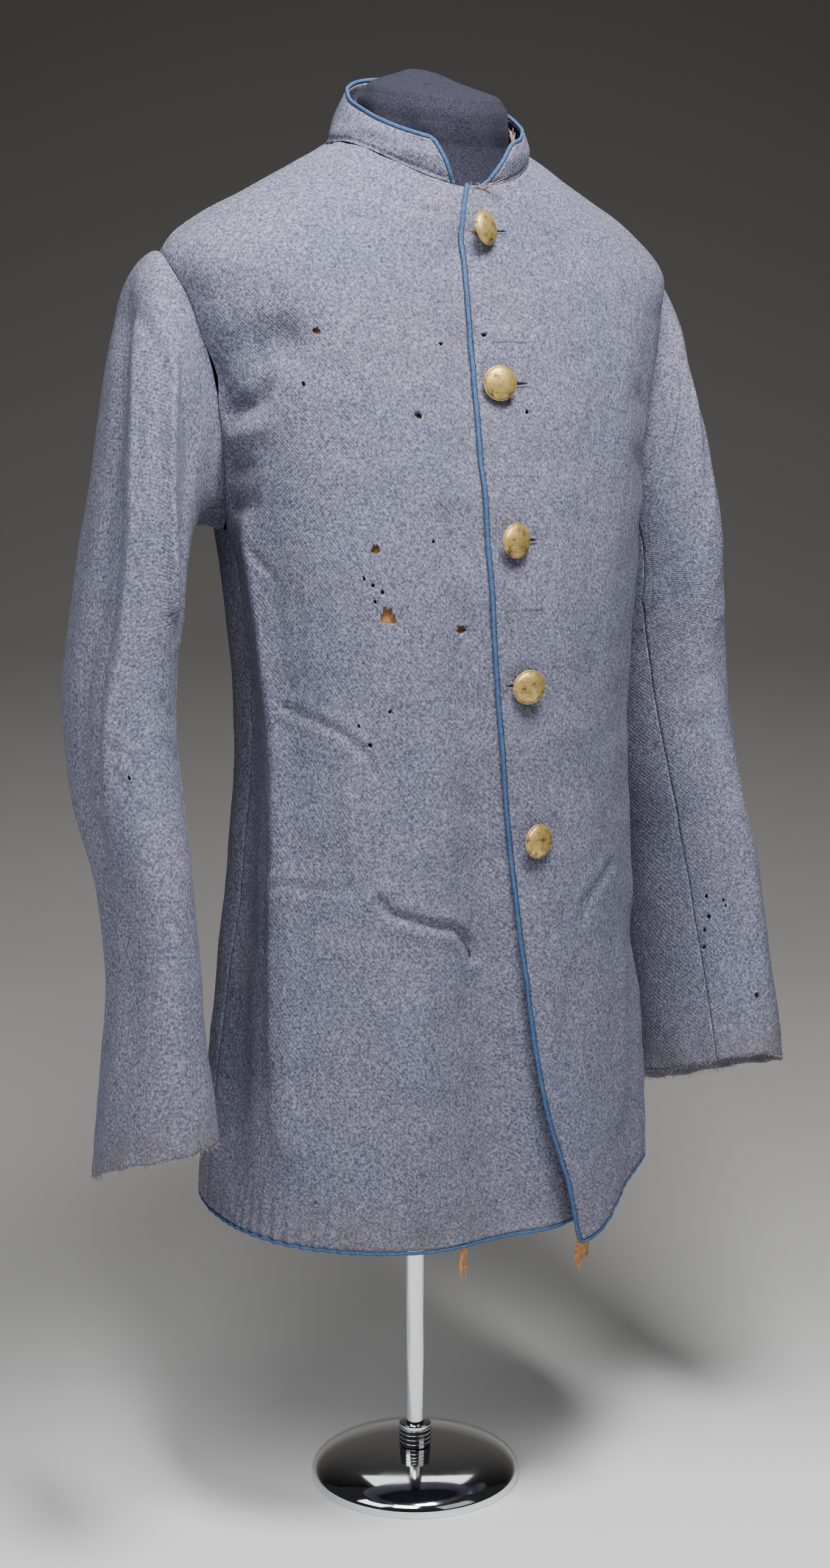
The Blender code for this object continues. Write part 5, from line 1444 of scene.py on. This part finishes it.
def add_buttons():
    """Five domed brass buttons on shanks."""
    made = []
    for number, (level, across, yaw, tip) in enumerate(BUTTONS, start=1):
        lean = math.sin(math.radians(math.hypot(yaw, tip)))
        foot = GAP + SHANK_RADIUS * lean
        shank = LAP_GAP + CLOTH + BUTTON_STANDOFF + BUTTON_RADIUS * lean
        rim = shank + BUTTON_RIM
        dome = [(BUTTON_DOME_RADIUS * math.sin(a), rim + BUTTON_DOME * math.cos(a) - 0.0003)
                for a in np.linspace(0, math.pi / 2 - 0.05, 16)]
        roll = [(BUTTON_DOME_RADIUS + 0.0001 + 0.0007 * math.sin(a), rim - 0.0006 + 0.0007 * math.cos(a))
                for a in np.linspace(-1.0, math.pi, 10)]
        back = [(BUTTON_DOME_RADIUS - 0.0006, shank), (SHANK_RADIUS, shank), (SHANK_RADIUS, 0.0), (0.0, 0.0)]
        turned = Matrix(front_frame(across, level, foot).tolist())
        turned = turned @ Matrix.Rotation(math.radians(yaw), 4, "Y")
        turned = turned @ Matrix.Rotation(math.radians(tip), 4, "X")
        made.append(add_lathe(f"brass_button_{number}", dome + roll + back, 64, brass, [f"button_{number}"],
                              np.array(turned)))
    return made


def add_form():
    """The dress form: the body's surface drawn in, closed below, with a domed neck in creased cloth."""
    turns = np.linspace(0, 2 * math.pi, 121)
    levels = np.linspace(FORM_FOOT_LEVEL, 1, 110)
    rest = ease_between(FORM_REST_LEVEL - 0.10, FORM_REST_LEVEL, levels)
    inset = -(CLOTH + FORM_LOOSE + (FORM_REST - FORM_LOOSE) * rest)
    turn, level = np.meshgrid(turns, levels)
    inset = np.broadcast_to(inset[:, None], turn.shape)[..., None]
    rings = body_point(turn, level) + body_normal(turn, level) * inset
    foot = rings[:1].mean(axis=1, keepdims=True)
    foot = foot + (rings[:1] - foot) * np.array([0.02, 0.5, 0.97])[:, None, None]
    heights = np.linspace(FORM_NECK[0, 0], FORM_NECK[-1, 0], 40)
    radius, forward = read_table(FORM_NECK, heights).T
    neck_turn, neck_rise = np.meshgrid(turns, np.linspace(0, 1, 40))
    waves = np.sin(9 * neck_turn + 3.5 * neck_rise + np.sin(2 * neck_turn))
    gathers = NECK_GATHER * waves * (1 - neck_rise) ** 0.5
    girth = radius[:, None] - 0.0012 + gathers
    neck = np.stack([
        girth * np.sin(turns),
        -forward[:, None] - girth * np.cos(turns),
        heights[:, None] - 0.010 * np.cos(turns),
    ], axis=-1)
    crown = neck[-1:].mean(axis=1, keepdims=True) + [0, 0, 0.001]
    crown = crown + (neck[-1:] - crown) * np.array([0.66, 0.33, 0.02])[:, None, None]
    rings = np.concatenate([foot, rings, neck, crown])
    return close_up(add_piece("form_body", rings, grid_quads(*rings.shape[:2]), form_cloth, ["dress_form"]))


def add_stand():
    """The chrome base, the ribbed ferrule and the pole."""
    arc = np.linspace(0, math.pi / 2, 40)
    dome = [(BASE_RADIUS * math.cos(a) ** 0.8, BASE_EDGE + (BASE_RISE - BASE_EDGE) * math.sin(a))
            for a in arc[:-1]]
    base = [(0.0, 0.0), (BASE_RADIUS - 0.0010, 0.0), (BASE_RADIUS - 0.0003, 0.0003), (BASE_RADIUS, 0.001),
            *dome, (0.0, BASE_RISE)]
    made = [add_lathe("chrome_base", base, 128, chrome, ["stand_base"])]
    foot = BASE_RISE + GAP
    pitch = FERRULE_HEIGHT / FERRULE_RIBS
    heights = np.linspace(0, FERRULE_HEIGHT, 61)
    waist = np.abs((heights / pitch) % 1 - 0.5) * 2
    radii = FERRULE_RADIUS - FERRULE_GROOVE * ease_between(0.72, 1.0, waist)
    ribs = [(0.0, foot), *zip(radii, foot + heights), (0.0, foot + FERRULE_HEIGHT)]
    made.append(add_lathe("chrome_ferrule", ribs, 64, chrome, ["stand_ferrule"]))
    low = foot + FERRULE_HEIGHT + GAP
    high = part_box("stand_pole")[1].z
    pole = [(0.0, low), (POLE_RADIUS, low), (POLE_RADIUS, high), (0.0, high)]
    made.append(add_lathe("chrome_pole", pole, 48, chrome, ["stand_pole"]))
    for obj in made:
        obj.data.set_sharp_from_angle(angle=math.radians(40))
    return made


# The studio

def add_studio():
    """The camera, a pale floor that rises into a backdrop whose colour is painted darker away from the camera
    and upwards as painted shade, and soft lights.
    """
    camera_data = bpy.data.cameras.new("camera")
    camera_data.lens = 53.13
    camera_data.sensor_width = 36.0
    camera_data.clip_start = 0.05
    camera = bpy.data.objects.new("camera", camera_data)
    bpy.context.scene.collection.objects.link(camera)
    camera.location = (-0.8044, -1.3877, 0.757)
    camera.rotation_mode = "QUATERNION"
    camera.rotation_quaternion = Vector((0.4957, 0.8552, -0.1516)).to_track_quat("-Z", "Y")
    bpy.context.scene.camera = camera

    material, tree, shader, place = new_material("backdrop_painted_shade", (0.5, 0.5, 0.5), 0.85)
    apart = tree.nodes.new("ShaderNodeSeparateXYZ")
    tree.links.new(place["Object"], apart.inputs["Vector"])
    away, aside = np.array([0.501, 0.865]), np.array([0.865, -0.501])
    distance = add_maths(tree, "MULTIPLY", apart.outputs["X"], away[0])
    distance = add_maths(tree, "ADD", distance, add_maths(tree, "MULTIPLY", apart.outputs["Y"], away[1]))
    up_and_back = add_maths(tree, "ADD", distance, apart.outputs["Z"])
    up_and_back = add_maths(tree, "MULTIPLY", add_maths(tree, "ADD", up_and_back, 0.5), 0.25)
    # Painted shade: the backdrop's colour runs from near white close in front to near black far back and high
    # up, standing in for the light falling off
    colour = add_ramp(tree, up_and_back, (0.075, (0.95, 0.95, 0.95)), (0.125, (0.90, 0.90, 0.90)),
                      (0.17, (0.66, 0.66, 0.655)), (0.25, (0.54, 0.535, 0.52)), (0.42, (0.26, 0.25, 0.238)),
                      (0.60, (0.100, 0.094, 0.088)), (1.0, (0.034, 0.032, 0.031)))
    tree.links.new(colour, shader.inputs["Base Color"])
    bend = np.linspace(0, math.pi / 2, 110)
    reach = np.concatenate([[-3.0, -1.0, 0.0], 0.35 + 1.5 * np.sin(bend), [1.85]])
    height = np.concatenate([[0.0, 0.0, 0.0], 1.5 - 1.5 * np.cos(bend), [3.6]])
    across = np.linspace(-3.5, 3.5, 3)[:, None]
    sweep = np.stack([reach * away[0] + across * aside[0], reach * away[1] + across * aside[1],
                      np.broadcast_to(height, (3, len(height)))], axis=-1)
    mesh = bpy.data.meshes.new("backdrop")
    mesh.from_pydata(sweep.reshape(-1, 3), [], grid_quads(3, len(height)))
    mesh.shade_smooth()
    mesh.materials.append(material)
    backdrop = bpy.data.objects.new("backdrop", mesh)
    bpy.context.scene.collection.objects.link(backdrop)

    world = bpy.data.worlds.new("studio")
    world.use_nodes = True
    world.node_tree.nodes["Background"].inputs["Color"].default_value = (0.75, 0.76, 0.80, 1)
    world.node_tree.nodes["Background"].inputs["Strength"].default_value = 0.03
    bpy.context.scene.world = world

    # columns: name, place, what it faces, size, power
    lamps = (
        ("key", (-1.15, -1.25, 2.25), (0.0, 0.0, 0.66), 1.0, 27),
        ("high", (-0.10, -0.62, 1.64), (0.0, -0.05, 0.82), 0.4, 28),
        ("fill", (0.7, -2.2, 1.5), (0.0, 0.0, 0.55), 1.6, 4),
        ("floor", (-1.5, -0.2, 1.4), (-0.4, -0.1, 0.0), 1.0, 9),
        ("back", (0.95, 1.55, 2.0), (0.0, 0.0, 0.20), 1.4, 12),
    )
    for name, spot, target, size, power in lamps:
        light = bpy.data.lights.new(name, "AREA")
        light.size = size
        light.energy = power
        lamp = bpy.data.objects.new(name, light)
        bpy.context.scene.collection.objects.link(lamp)
        lamp.location = spot
        lamp.rotation_mode = "QUATERNION"
        lamp.rotation_quaternion = (Vector(target) - Vector(spot)).to_track_quat("-Z", "Y")


left_front, right_front, back = add_body()
sleeves = add_sleeves()
collar = add_collar()
lining = add_lining()
collar_cord, front_cord, left_hem_cord, back_hem_cord, right_hem_cord = add_piping()
right_stitches, left_stitches, buttonhole_stitches = add_sewing()
left_fray, right_fray, tip_fray, throat_fray, lining_fray = add_frays()
buttons = add_buttons()
form = add_form()
stand = add_stand()
add_studio()
